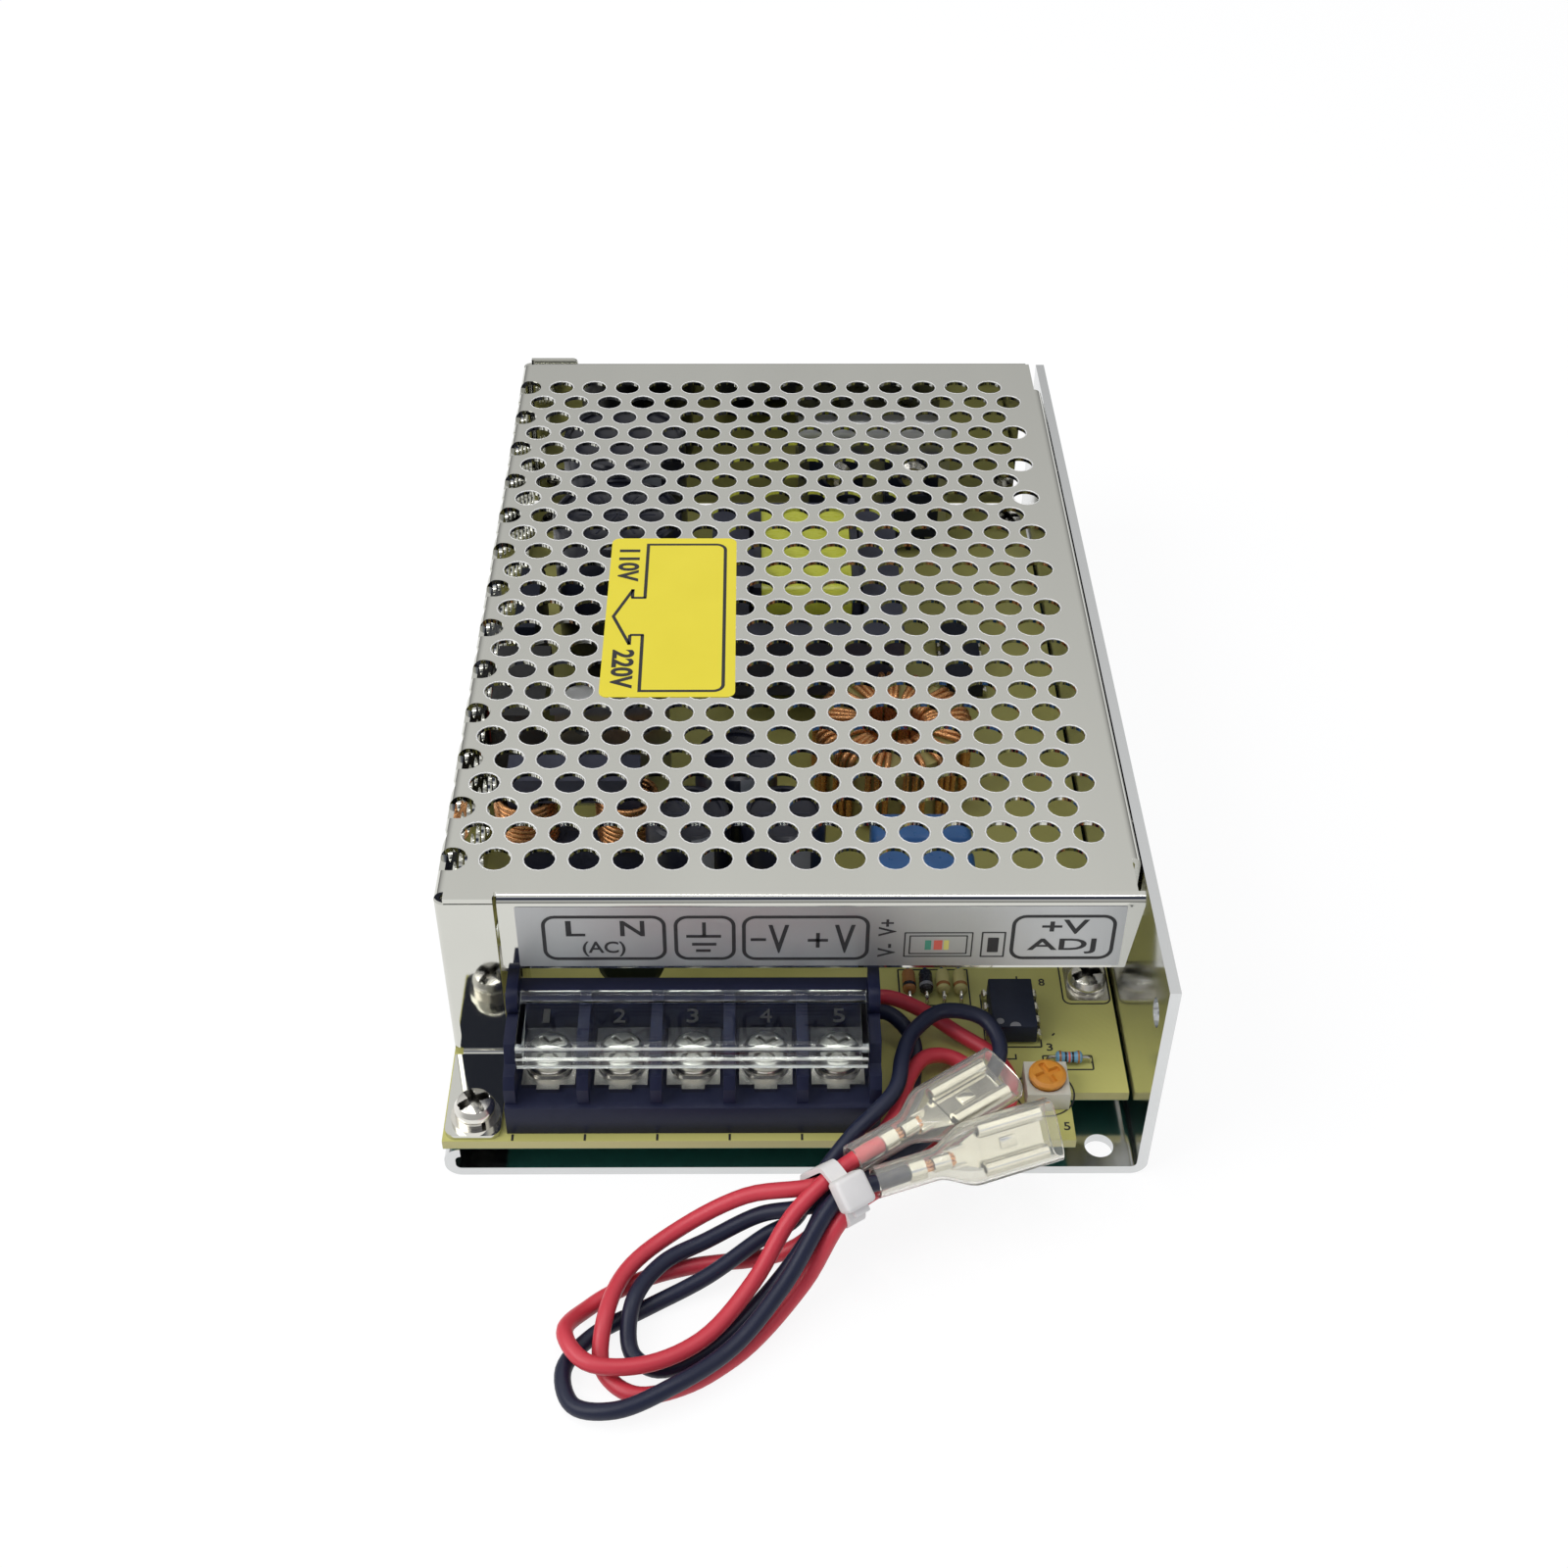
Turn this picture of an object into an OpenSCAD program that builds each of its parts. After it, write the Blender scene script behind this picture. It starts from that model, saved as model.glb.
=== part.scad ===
// Enclosed switching power supply: an aluminium chassis under one folded and perforated cover,
// screw terminals below a clear hinged flap, an output trimmer, a voltage selector and two leads.
// Millimetres. The origin is at the bottom centre of the case, X to the right, Y to the back, Z up.

/* [Case] */
// Length of the case, front to back
case_l = 159; // [156:1:190]
// Width of the case
case_w = 97; // [95:1:120]
// Height of the case
case_h = 38; // [37:1:50]
// Thickness of the chassis sheet
chassis_t = 1.5; // [1:0.1:1.8]
// Inner radius of the chassis bends
chassis_bend_r = 0.8; // [0.4:0.1:1]
// How far the right wall stays below the top of the cover
wall_drop = 1.5; // [0.5:0.5:4]
// Height of the left flange, which carries the board
flange_h = 5.4; // [5:0.1:6.5]
// Width of the ledge folded in from the left flange
ledge_w = 8; // [7:0.5:10]
// How far the ledge stays behind the front edge
ledge_back = 1.4; // [0.6:0.1:1.8]

/* [Mounting] */
// Diameter of the fixing holes in the base and in the right wall
fix_d = 4; // [3:0.1:4.5]
// Distance of the base holes from the right face
fix_side = 6.2; // [5.5:0.1:8]
// Distance of the base holes from the front and rear edges
fix_end = 3.6; // [3.4:0.1:4]
// Distance of the wall holes from the front and rear edges
wall_fix_end = 4.5; // [4:0.1:8]
// Height of the wall holes
wall_fix_z = 28; // [20:0.5:30]

/* [Cover] */
// Thickness of the cover sheet
cover_t = 0.8; // [0.5:0.1:1]
// Inner radius of the cover bends
cover_bend_r = 0.6; // [0.4:0.1:1]
// Depth of the open shelf in front of the cover
shelf_d = 15.7; // [15:0.1:18]
// Gap between the front lip and the end plates of the terminal block
lip_gap = 1.8; // [0.8:0.1:5]
// How far the slanted right end of the lip runs in
lip_slant = 1.4; // [0:0.1:4]
// Width of the front corner tab and of its foot
tab_w = 8; // [7:0.5:8.5]
// Width of the rear corner tab
rear_tab_w = 10; // [6:0.5:16]
// Height of the side flange inside the right wall
side_flange_h = 11; // [9:0.5:14]
// Gap between the cover and the right wall
cover_gap = 0.3; // [0.1:0.1:0.6]
// Gap between neighbouring folds at a corner
relief = 0.5; // [0.3:0.1:1]
// Gap between the front corner tab and the top above it
tab_gap = 0.2; // [0.1:0.1:0.5]
// Width of the open slot at the rear right corner
rear_slot = 2; // [1:0.1:4]

/* [Perforation] */
// Diameter of the holes
hole_d = 4.5; // [3:0.1:4.8]
// Distance between neighbouring holes
hole_pitch = 6; // [5.6:0.1:8]
// First hole from the left face
hole_left = 1.7; // [1.5:0.1:3]
// First row from the front lip
hole_front = 7.8; // [5:0.1:12]
// Smallest distance of the last row from the rear
hole_rear = 9; // [6:0.5:14]
// Smallest distance of the last column from the right
hole_right = 6; // [5:0.5:10]
// First hole of the left wall below the top
hole_wall = 5.5; // [5:0.1:6]
// Smallest height of a wall hole above the board
hole_low = 4; // [3:0.5:8]

/* [Board] */
// Thickness of the board
board_t = 1.6; // [1:0.1:2]
// Gap between the board and the right wall
board_gap = 0.4; // [0.2:0.1:1]
// Width of the notch at the front right corner
notch_w = 8.4; // [8:0.1:9]
// Depth of the notch at the front right corner
notch_d = 8.3; // [8:0.1:9]
// Diameter of the standoffs
standoff_d = 5; // [4.6:0.1:6]
// Nominal diameter of the case screws
screw_d = 3; // [2.5:0.1:3.2]
// Diameter of the case screw heads
head_d = 5.6; // [5:0.1:5.8]
// Height of the case screw heads
head_h = 2.2; // [1.6:0.1:3]
// Clearance of a screw in its hole, on the diameter
screw_fit = 0.2; // [0.1:0.1:0.4]
// Distance of the screws from the side of the case
screw_side = 4.4; // [4.2:0.1:4.6]

/* [Terminals] */
// Number of terminals
term_count = 5; // [3:1:5]
// Distance between terminals
term_pitch = 9.9; // [9.5:0.1:10.2]
// Distance of the first barrier from the left face
term_left = 9.6; // [9.4:0.1:10.2]
// Distance of the block from the front edge
term_front = 1.5; // [1:0.1:2]
// Depth of the block
term_d = 16; // [15.6:0.1:17]
// Height of the block's solid base
term_base_h = 5.3; // [5:0.1:6]
// Thickness of the barriers
barrier_t = 1.6; // [1.2:0.1:2]
// Height of the end plates
ear_h = 16; // [15.6:0.1:17]
// Thickness of the rear wall
term_wall_t = 2.2; // [1.5:0.1:2.4]
// Diameter of the terminal screw heads
term_head_d = 6; // [5:0.1:6.2]
// Height of the terminal screw heads
term_head_h = 2; // [1.6:0.1:2.2]
// Diameter of the terminal screws
term_screw_d = 3; // [2.5:0.1:3.4]
// Thickness of the contact plates
contact_t = 0.7; // [0.5:0.1:0.8]
// Thickness of the wire clamps
clamp_t = 0.8; // [0.6:0.1:1]
// Side of the square wire clamps
clamp_w = 6.4; // [6.2:0.1:7]

/* [Flap] */
// Height of the flap's top above the board
flap_h = 14.3; // [14:0.1:15]
// Thickness of the flap
flap_t = 0.9; // [0.7:0.1:1.1]
// Reach of the flap in front of its hinge
flap_reach = 9.7; // [9:0.1:10]
// Height of the flap's front edge
flap_lip_h = 4.1; // [3:0.1:4.4]
// Radius of the flap's hinge barrel
barrel_r = 1; // [0.8:0.1:1.1]
// Diameter of the flap's hinge pins
pin_d = 1.4; // [1:0.1:1.6]
// Clearance of the hinge pins in their bores, on the diameter
pin_fit = 0.2; // [0.1:0.1:0.3]
// Running gap round the flap
flap_gap = 0.3; // [0.2:0.1:0.4]

/* [Controls] */
// Side of the trimmer's base
trimmer_w = 6; // [5.6:0.1:6.4]
// Height of the trimmer's base
trimmer_h = 3.2; // [3:0.1:5]
// Diameter of the trimmer's rotor
rotor_d = 4.4; // [3.6:0.1:4.8]
// Diameter of the rotor's cap above the base
cap_d = 5.2; // [4.8:0.1:5.6]
// How far the rotor stands above its base
rotor_rise = 1.2; // [0.6:0.1:2]
// Running gap of the rotor and of the slider
run_gap = 0.3; // [0.2:0.1:0.5]
// Length of the selector window in the left wall
window_l = 12; // [11:0.5:14]
// Height of the selector window
window_h = 6.5; // [6:0.1:8]
// Height of the window's middle above the board
window_z = 13; // [11:0.5:15]
// Travel of the selector slider
slide_travel = 5; // [3:0.1:5.5]

/* [Magnetics] */
// Length of the transformer core
core_l = 32; // [30:1:36]
// Width of the transformer core
core_w = 40; // [38:1:42]
// Thickness of the transformer core
core_t = 12; // [10:0.5:13]
// Width of the core's outer legs and yokes
core_leg = 6.4; // [5:0.1:7]
// Width of the core's middle leg
core_mid = 11; // [9:0.5:12]
// Height of the taped winding
winding_h = 21; // [19:0.5:22]
// Outer diameter of the output choke
choke_d = 26; // [22:1:28]
// Height of the output choke
choke_h = 14; // [10:0.5:18]
// Number of turns on the output choke
choke_turns = 24; // [16:1:26]

/* [Capacitors] */
// Diameter of the bulk capacitors
bulk_d = 22; // [18:1:23]
// Air between the bulk capacitors and the cover
bulk_air = 2.2; // [1:0.1:8]
// Diameter of the output capacitors
output_d = 12.5; // [10:0.5:13]
// Height of the output capacitors
output_h = 22; // [15:1:28]

/* [Heatsinks] */
// Thickness of the heatsink plates
sink_t = 1.8; // [1.2:0.1:2.4]
// Height of the heatsinks
sink_h = 25; // [22:0.5:28]
// Depth of the flange folded from a heatsink
sink_flange = 7; // [5:0.5:8]

/* [Layout] */
// Distance of the foot screw from the front edge
foot_front = 3.8; // [3.6:0.1:4.6]
// Distance of the front board screw from the front edge
board_screw_front = 29.5; // [27:0.5:33]
// Distance of the rear board screws from the rear edge
board_screw_rear = 9.5; // [8:0.5:12]
// Distance of the front cover screw from the front lip
cover_screw_front = 22; // [18:0.5:30]
// Distance of the rear cover screw from the rear lip
cover_screw_rear = 28; // [18:0.5:40]
// Distance of the trimmer from the right face
trimmer_side = 13.7; // [13.5:0.1:14]
// Distance of the trimmer from the front edge
trimmer_front = 8.5; // [8:0.1:9]
// Distance of the control chip from the right face
control_side = 17.2; // [16.6:0.1:18]
// Distance of the control chip from the front edge
control_front = 22; // [21.5:0.1:24]
// Distance of the first diode from the right face
diode_side = 31.6; // [31:0.1:33]
// Distance of the diodes from the front edge
diode_front = 28.5; // [27.5:0.1:31]
// Distance between the diodes
diode_pitch = 2.5; // [2.2:0.1:2.8]
// Distance of the blue resistor from the right face
resistor_side = 9.8; // [9:0.1:11]
// Distance of the blue resistor from the front edge
resistor_front = 14; // [13.6:0.1:16]
// Distance of the selector from the front edge
selector_front = 78.5; // [76:0.5:82]
// Distance of the fuse from the left face
fuse_side = 6.5; // [5:0.1:8]
// Distance of the fuse from the front edge
fuse_front = 36; // [33:0.5:36.5]
// Distance of the inrush limiter from the left face
limiter_side = 25; // [22:0.5:26]
// Distance of the inrush limiter from the front edge
limiter_front = 27; // [24:0.5:34]
// Distance of the line choke from the left face
line_choke_side = 15.5; // [12:0.5:16]
// Distance of the line choke from the front edge
line_choke_front = 55; // [55:0.5:58]
// Gap between the line choke and the primary heatsink
line_choke_gap = 0.5; // [0.3:0.1:4]
// Distance of the primary heatsink from the left face
primary_side = 11.5; // [10.5:0.5:14]
// Distance of the bridge rectifier from the left face
bridge_side = 3; // [2:0.1:4]
// Gap between the selector and the bridge rectifier
bridge_gap = 4; // [2:0.5:12]
// Distance of the bulk capacitors from the left face
bulk_side = 19.5; // [19.5:0.1:21]
// Distance of the rear bulk capacitor from the rear edge
bulk_rear = 22.5; // [15:0.5:24]
// Distance between the bulk capacitors
bulk_pitch = 24.5; // [23.5:0.5:26]
// Distance of the transformer from the left face
transformer_side = 51.5; // [50:0.5:52]
// Distance of the transformer behind the middle of the case
transformer_back = 29; // [28:0.5:34]
// Distance of the output choke from the left face
choke_side = 65; // [63:0.5:68]
// Gap between the output choke and the transformer
choke_gap = 1; // [0.5:0.1:4]
// Distance of the secondary heatsink from the left face
secondary_side = 51; // [49:0.5:56]
// Distance of the secondary heatsink from the rear edge
secondary_rear = 15; // [12:0.5:18]
// Distance of the first output capacitor from the left face
output_side = 33; // [33:0.1:34]
// Distance of the output capacitors from the front edge
output_front = 43; // [40:0.5:44]
// Distance between the output capacitors
output_pitch = 14; // [13.5:0.1:15]
// Distance of the third output capacitor behind the other two
output_row = 13; // [12:0.1:14]
// Distance of the blue capacitors from the left face
blue_side = 67.5; // [66:0.5:72]
// Distance of the first blue capacitor from the front edge
blue_front = 38; // [36:0.5:42]
// Gap between the blue capacitors
blue_gap = 1; // [0.5:0.1:3]
// Distance of the driver chip from the left face
driver_side = 79; // [76:0.5:86]
// Distance of the driver chip behind the middle of the case
driver_back = 26; // [20:0.5:34]
// Distance of the optocoupler from the left face
opto_side = 39; // [37:0.5:44]

/* [Leads] */
// Outer diameter of the leads
lead_d = 2.2; // [1.8:0.1:2.2]
// Width of the cable tie
tie_w = 2.5; // [2:0.1:2.8]
// Thickness of the cable tie's band
tie_t = 0.9; // [0.7:0.1:1.2]
// Width of the flat end of the connector sleeves
sleeve_w = 8.4; // [7.6:0.1:8.6]
// Height of the flat end of the connector sleeves
sleeve_h = 4.6; // [4.2:0.1:4.8]
// Wall of the connector sleeves
sleeve_t = 0.5; // [0.3:0.1:0.5]

/* [Hidden] */
$fn = 48;

// Small allowance that carries a cut past the face it opens
eps = 1;

// Faces of the case
left_x = -case_w / 2;
right_x = case_w / 2;
front_y = -case_l / 2;
rear_y = case_l / 2;
wall_h = case_h - wall_drop;
board_z = flange_h;
board_top = board_z + board_t;

// Planes of the folded cover
cover_bend = cover_bend_r + cover_t;
cover_right = right_x - chassis_t - cover_gap;
lip_y = front_y + shelf_d;
rear_lip_y = rear_y - cover_t - cover_gap;
lip_low = board_top + ear_h + lip_gap;
lip_left = left_x + tab_w + relief;
foot_top = board_top + cover_t;
side_flange_y0 = lip_y + hole_front;
side_flange_y1 = rear_lip_y - 10.5;

// Screw positions
foot_x = left_x + screw_side;
foot_y = front_y + foot_front;
right_screw_x = right_x - chassis_t - chassis_bend_r - standoff_d / 2 - relief;
front_screw_y = front_y + board_screw_front;
rear_screw_y = rear_y - board_screw_rear;
cover_screw_z = case_h - side_flange_h / 2 - 1.5;
cover_screw_y = [lip_y + cover_screw_front, rear_lip_y - cover_screw_rear];
washer_t = 0.7;
spring_t = 0.9;
sunk_d = head_d - 0.2;
sunk_h = chassis_t * 0.8;

// Perforation grid
row_pitch = hole_pitch * sqrt(3) / 2;
hole_rows = floor((rear_lip_y - hole_rear - lip_y - hole_front) / row_pitch) + 1;
hole_cols = floor((cover_right - hole_right - left_x - hole_left - hole_pitch / 2) / hole_pitch) + 1;
selector_y = front_y + selector_front;
selector_z = board_top + window_z;
selector_l = window_l + 6;
bridge_y = selector_y + selector_l / 2 + bridge_gap;

// Terminal block
term_x0 = left_x + term_left;
term_y0 = front_y + term_front;
term_w = term_count * term_pitch;
hinge_y = term_y0 + term_d - 3.6;
hinge_z = board_top + flap_h - flap_t / 2;
flap_front = hinge_y - flap_reach;
barrier_top = flap_h - flap_t / 2 - barrel_r - flap_gap;
barrier_low = flap_h - flap_lip_h - 2 * flap_gap;
barrier_step = flap_front - term_y0 + flap_t + 2 * flap_gap;
contact_z = board_top + term_base_h;
clamp_z = contact_z + contact_t;
term_head_z = clamp_z + clamp_t;
term_screw_y = term_y0 + 8;

// Places of the parts on the board
trimmer_pos = [right_x - trimmer_side, front_y + trimmer_front];
control_pos = [right_x - control_side, front_y + control_front];
selector_x = left_x + cover_t + run_gap;
transformer_pos = [left_x + transformer_side, transformer_back];
transformer_z = board_top + winding_h / 2 + 2.5;
choke_pos = [left_x + choke_side, transformer_back - core_w / 2 - choke_gap - choke_d / 2];
bulk_x = left_x + bulk_side;
bulk_y = [rear_y - bulk_rear, rear_y - bulk_rear - bulk_pitch];
bulk_h = case_h - cover_t - bulk_air - board_top;
line_base_d = 16;
line_choke_pos = [left_x + line_choke_side, front_y + line_choke_front];
primary_x = left_x + primary_side;
primary_y = line_choke_pos[1] + line_base_d / 2 + line_choke_gap + sink_flange;
secondary_x = left_x + secondary_side;
secondary_y = rear_y - secondary_rear;

// Shapes shared by several pieces

// A rectangle with round corners, centred
module rounded_rect(size, r) {
  square([size[0] - 2 * r, size[1]], center = true);
  square([size[0], size[1] - 2 * r], center = true);
  for (sx = [-1, 1], sy = [-1, 1])
    translate([sx * (size[0] / 2 - r), sy * (size[1] / 2 - r)])
      circle(r);
}

// The flat quarter ring of a fold, in the quadrant of positive X and Y
module bend_arc(r, t) {
  intersection() {
    difference() {
      circle(r + t);
      circle(r);
    }
    square(r + t + eps);
  }
}

// A quarter of a folded corner, along Z
module bend_strip(r, t, length) {
  linear_extrude(length)
    bend_arc(r, t);
}

// Turns a shape drawn in the YZ plane to stand along X
module along_x(x) {
  translate([x, 0, 0])
    rotate([90, 0, 90])
      children();
}

// Turns a shape drawn in the XZ plane to run back along Y from y
module along_y(y) {
  translate([0, y, 0])
    rotate([90, 0, 0])
      mirror([0, 0, 1])
        children();
}

// A pan head screw with a cross recess, standing head up on z = 0
module pan_screw(d, shank, hd, hh) {
  cross_w = hd * 0.16;
  cross_l = hd * 0.6;
  difference() {
    union() {
      rotate_extrude()
        polygon([[0, 0], [hd / 2, 0], [hd / 2, hh * 0.5], [hd * 0.36, hh * 0.88], [0, hh]]);
      translate([0, 0, -shank])
        cylinder(d = d, h = shank + hh / 4);
    }
    for (a = [0, 90])
      rotate(a)
        translate([-cross_l / 2, -cross_w / 2, hh * 0.45])
          cube([cross_l, cross_w, hh]);
  }
}

// A standing electrolytic can with a rolled groove and a bevelled rim
module can(d, h) {
  r = d / 2;
  groove = r * 0.07;
  rotate_extrude()
    polygon([
      [0, 0], [r, 0], [r, h * 0.07], [r - groove, h * 0.1], [r, h * 0.13],
      [r, h - groove], [r - groove, h], [0, h]
    ]);
}

// An axial part along X, its wire ends bent down to z = 0
module axial_part(body_d, body_l, span, wire_d) {
  z = body_d / 2 + 0.3;
  translate([-body_l / 2, 0, z])
    rotate([0, 90, 0])
      cylinder(d = body_d, h = body_l);
  translate([-span / 2, 0, z])
    rotate([0, 90, 0])
      cylinder(d = wire_d, h = span);
  for (sx = [-1, 1])
    translate([sx * span / 2, 0, 0])
      cylinder(d = wire_d, h = z + wire_d / 2);
}

// A chip with its pins in two rows along Y, standing on z = 0
module chip(body_w, body_l, body_h, pins) {
  lift = 0.6;
  pin_w = 0.6;
  pin_t = 0.5;
  pin_reach = 0.7;
  pitch = 2.54;
  translate([-body_w / 2, -body_l / 2, lift])
    cube([body_w, body_l, body_h]);
  for (sx = [-1, 1], i = [0 : pins / 2 - 1])
    translate([sx * body_w / 2, (i - (pins / 2 - 1) / 2) * pitch, 0]) {
      translate([sx > 0 ? pin_reach - pin_t : -pin_reach, -pin_w / 2, 0])
        cube([pin_t, pin_w, lift + body_h / 2]);
      translate([sx > 0 ? -pin_t : -pin_reach, -pin_w / 2, lift + body_h / 2 - pin_t])
        cube([pin_reach + pin_t, pin_w, pin_t]);
    }
}

// A power device with a metal tab, its back on the plane y = 0, facing +Y, standing on z = 0
module power_device() {
  tab_t = 1.3;
  leg_w = 0.9;
  leg_pitch = 2.54;
  body_z = 4;
  translate([-5, 0, body_z])
    cube([10, 4.4, 9.2]);
  difference() {
    translate([-5, 0, body_z])
      cube([10, tab_t, 15.4]);
    translate([0, -eps, body_z + 12.4])
      rotate([-90, 0, 0])
        cylinder(d = screw_d + 2 * screw_fit, h = tab_t + 2 * eps);
  }
  for (i = [-1 : 1])
    translate([i * leg_pitch - leg_w / 2, 2.4, 0])
      cube([leg_w, 0.6, body_z + eps]);
}

// A plate heatsink along X with a flange folded to -Y at its top; back face on y = 0
module plate_heatsink(length, holes) {
  r = 1;
  difference() {
    translate([0, -sink_t, 0])
      cube([length, sink_t, sink_h - r - sink_t]);
    for (x = holes)
      translate([x, -sink_t - eps, 16.4])
        rotate([-90, 0, 0])
          cylinder(d = screw_d + screw_fit, h = sink_t + 2 * eps);
  }
  translate([0, -sink_t - r, sink_h - r - sink_t])
    rotate([90, 0, 90])
      bend_strip(r, sink_t, length);
  translate([0, -sink_flange, sink_h - sink_t])
    cube([length, sink_flange - sink_t - r, sink_t]);
}

// Case

// Section of the folded chassis in the XZ plane
module chassis_section() {
  r = chassis_bend_r;
  ro = r + chassis_t;
  translate([left_x + ro, 0])
    square([case_w - 2 * ro, chassis_t]);
  translate([right_x - chassis_t, ro])
    square([chassis_t, wall_h - ro]);
  translate([right_x - ro, ro])
    mirror([0, 1])
      bend_arc(r, chassis_t);
  translate([left_x + ro, ro])
    rotate(180)
      bend_arc(r, chassis_t);
  translate([left_x, ro])
    square([chassis_t, flange_h - 2 * ro]);
  translate([left_x + ro, flange_h - ro])
    mirror([1, 0])
      bend_arc(r, chassis_t);
  translate([left_x + ro, flange_h - chassis_t])
    square([ledge_w - ro, chassis_t]);
}

module chassis() {
  color("silver")
    difference() {
      along_y(front_y)
        linear_extrude(case_l)
          chassis_section();
      for (y = [front_y + fix_end, rear_y - fix_end])
        translate([right_x - fix_side, y, -eps])
          cylinder(d = fix_d, h = chassis_t + 2 * eps);
      for (y = [front_y + wall_fix_end, rear_y - wall_fix_end])
        translate([right_x - chassis_t - eps, y, wall_fix_z])
          rotate([0, 90, 0])
            cylinder(d = fix_d, h = chassis_t + 2 * eps);
      for (y = cover_screw_y)
        translate([right_x, y, cover_screw_z])
          rotate([0, 90, 0]) {
            translate([0, 0, -chassis_t - eps])
              cylinder(d = screw_d + screw_fit, h = chassis_t + 2 * eps);
            translate([0, 0, -sunk_h])
              cylinder(d1 = screw_d + screw_fit, d2 = sunk_d + screw_fit, h = sunk_h);
          }
      for (y = [foot_y, rear_screw_y])
        translate([foot_x, y, flange_h - chassis_t - eps])
          cylinder(d = screw_d + screw_fit, h = chassis_t + 2 * eps);
      translate([left_x + chassis_bend_r + chassis_t, front_y - eps, flange_h - chassis_t])
        cube([ledge_w, ledge_back + eps, chassis_t + eps]);
    }
}

// Distance of every second row's holes from the grid
function row_shift(r) = (r % 2) * hole_pitch / 2;
function row_y(r) = lip_y + hole_front + r * row_pitch;
function wall_hole_z(r, k) = case_h - hole_wall - k * hole_pitch + row_shift(r);
function wall_holes(r) = floor((wall_hole_z(r, 0) - board_top - hole_low) / hole_pitch);
// Whether a hole of the left wall would touch the margin of the selector window
function near_window(y, z) =
  abs(y - selector_y) < (window_l + hole_d) / 2 + 1 && abs(z - selector_z) < (window_h + hole_d) / 2 + 1;

module cover_top() {
  x0 = left_x + cover_bend;
  translate([0, 0, case_h - cover_t])
    linear_extrude(cover_t)
      difference() {
        union() {
          translate([x0, lip_y + cover_bend])
            square([cover_right - cover_bend - x0, rear_lip_y - lip_y - 2 * cover_bend]);
          translate([x0, lip_y])
            square([lip_left - relief - x0, cover_bend]);
        }
        for (r = [0 : hole_rows - 1], c = [0 : hole_cols - 1])
          translate([left_x + hole_left + row_shift(r) + c * hole_pitch, row_y(r)])
            circle(d = hole_d);
      }
}

module cover_left() {
  y0 = lip_y + cover_bend;
  along_x(left_x)
    linear_extrude(cover_t)
      difference() {
        translate([y0, board_top])
          square([rear_y - cover_bend - y0, case_h - cover_bend - board_top]);
        for (r = [0 : hole_rows - 1], k = [0 : wall_holes(r)])
          if (!near_window(row_y(r), wall_hole_z(r, k)))
            translate([row_y(r), wall_hole_z(r, k)])
              circle(d = hole_d);
        translate([selector_y, selector_z])
          square([window_l, window_h], center = true);
      }
}

// The fold between the top and the left wall, with the holes that run round it
module cover_left_fold() {
  difference() {
    translate([left_x + cover_bend, rear_lip_y - cover_bend, case_h - cover_bend])
      rotate([90, 0, 0])
        mirror([1, 0, 0])
          bend_strip(cover_bend_r, cover_t, rear_lip_y - lip_y - 2 * cover_bend);
    for (r = [0 : 2 : hole_rows - 1])
      translate([left_x + hole_left, row_y(r), case_h - cover_bend - eps])
        cylinder(d = hole_d, h = cover_bend + 2 * eps);
    for (r = [1 : 2 : hole_rows - 1])
      translate([left_x - eps, row_y(r), wall_hole_z(r, 0)])
        rotate([0, 90, 0])
          cylinder(d = hole_d, h = cover_bend + 2 * eps);
  }
}

module cover_front() {
  lip_right = cover_right - relief;
  along_x(lip_left)
    translate([lip_y + cover_bend, case_h - cover_bend])
      mirror([1, 0])
        bend_strip(cover_bend_r, cover_t, lip_right - lip_left);
  along_y(lip_y)
    linear_extrude(cover_t)
      polygon([
        [lip_left, lip_low], [lip_right - lip_slant, lip_low],
        [lip_right, case_h - cover_bend], [lip_left, case_h - cover_bend]
      ]);
}

module cover_rear() {
  x0 = left_x + cover_bend + relief;
  x1 = cover_right - rear_slot;
  along_x(x0)
    translate([rear_lip_y - cover_bend, case_h - cover_bend])
      bend_strip(cover_bend_r, cover_t, x1 - x0);
  along_y(rear_lip_y - cover_t)
    linear_extrude(cover_t)
      translate([x0, board_top])
        square([x1 - x0, case_h - cover_bend - board_top]);
}

module cover_side_flange() {
  translate([cover_right - cover_bend, side_flange_y1, case_h - cover_bend])
    rotate([90, 0, 0])
      bend_strip(cover_bend_r, cover_t, side_flange_y1 - side_flange_y0);
  difference() {
    along_x(cover_right - cover_t)
      linear_extrude(cover_t)
        translate([side_flange_y0, case_h - side_flange_h])
          square([side_flange_y1 - side_flange_y0, side_flange_h - cover_bend]);
    for (y = cover_screw_y)
      translate([cover_right - cover_t - eps, y, cover_screw_z])
        rotate([0, 90, 0])
          cylinder(d = screw_d + screw_fit, h = cover_t + 2 * eps);
  }
}

// The front corner tab runs down to the board and turns forward into a foot
module cover_front_tab() {
  fold_z = foot_top + cover_bend_r;
  tab_h = case_h - cover_t - tab_gap - fold_z;
  translate([left_x + cover_bend, lip_y + cover_bend, fold_z])
    rotate(180)
      bend_strip(cover_bend_r, cover_t, tab_h);
  translate([left_x + cover_bend, lip_y, fold_z])
    cube([tab_w - cover_bend, cover_t, tab_h]);
  along_x(left_x + cover_bend)
    translate([lip_y - cover_bend_r, fold_z])
      mirror([0, 1])
        bend_strip(cover_bend_r, cover_t, tab_w - cover_bend);
  difference() {
    translate([0, 0, board_top])
      linear_extrude(cover_t)
        foot_outline();
    translate([foot_x, foot_y, board_top - eps])
      cylinder(d = screw_d + 2 * screw_fit, h = cover_t + 2 * eps);
  }
}

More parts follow.
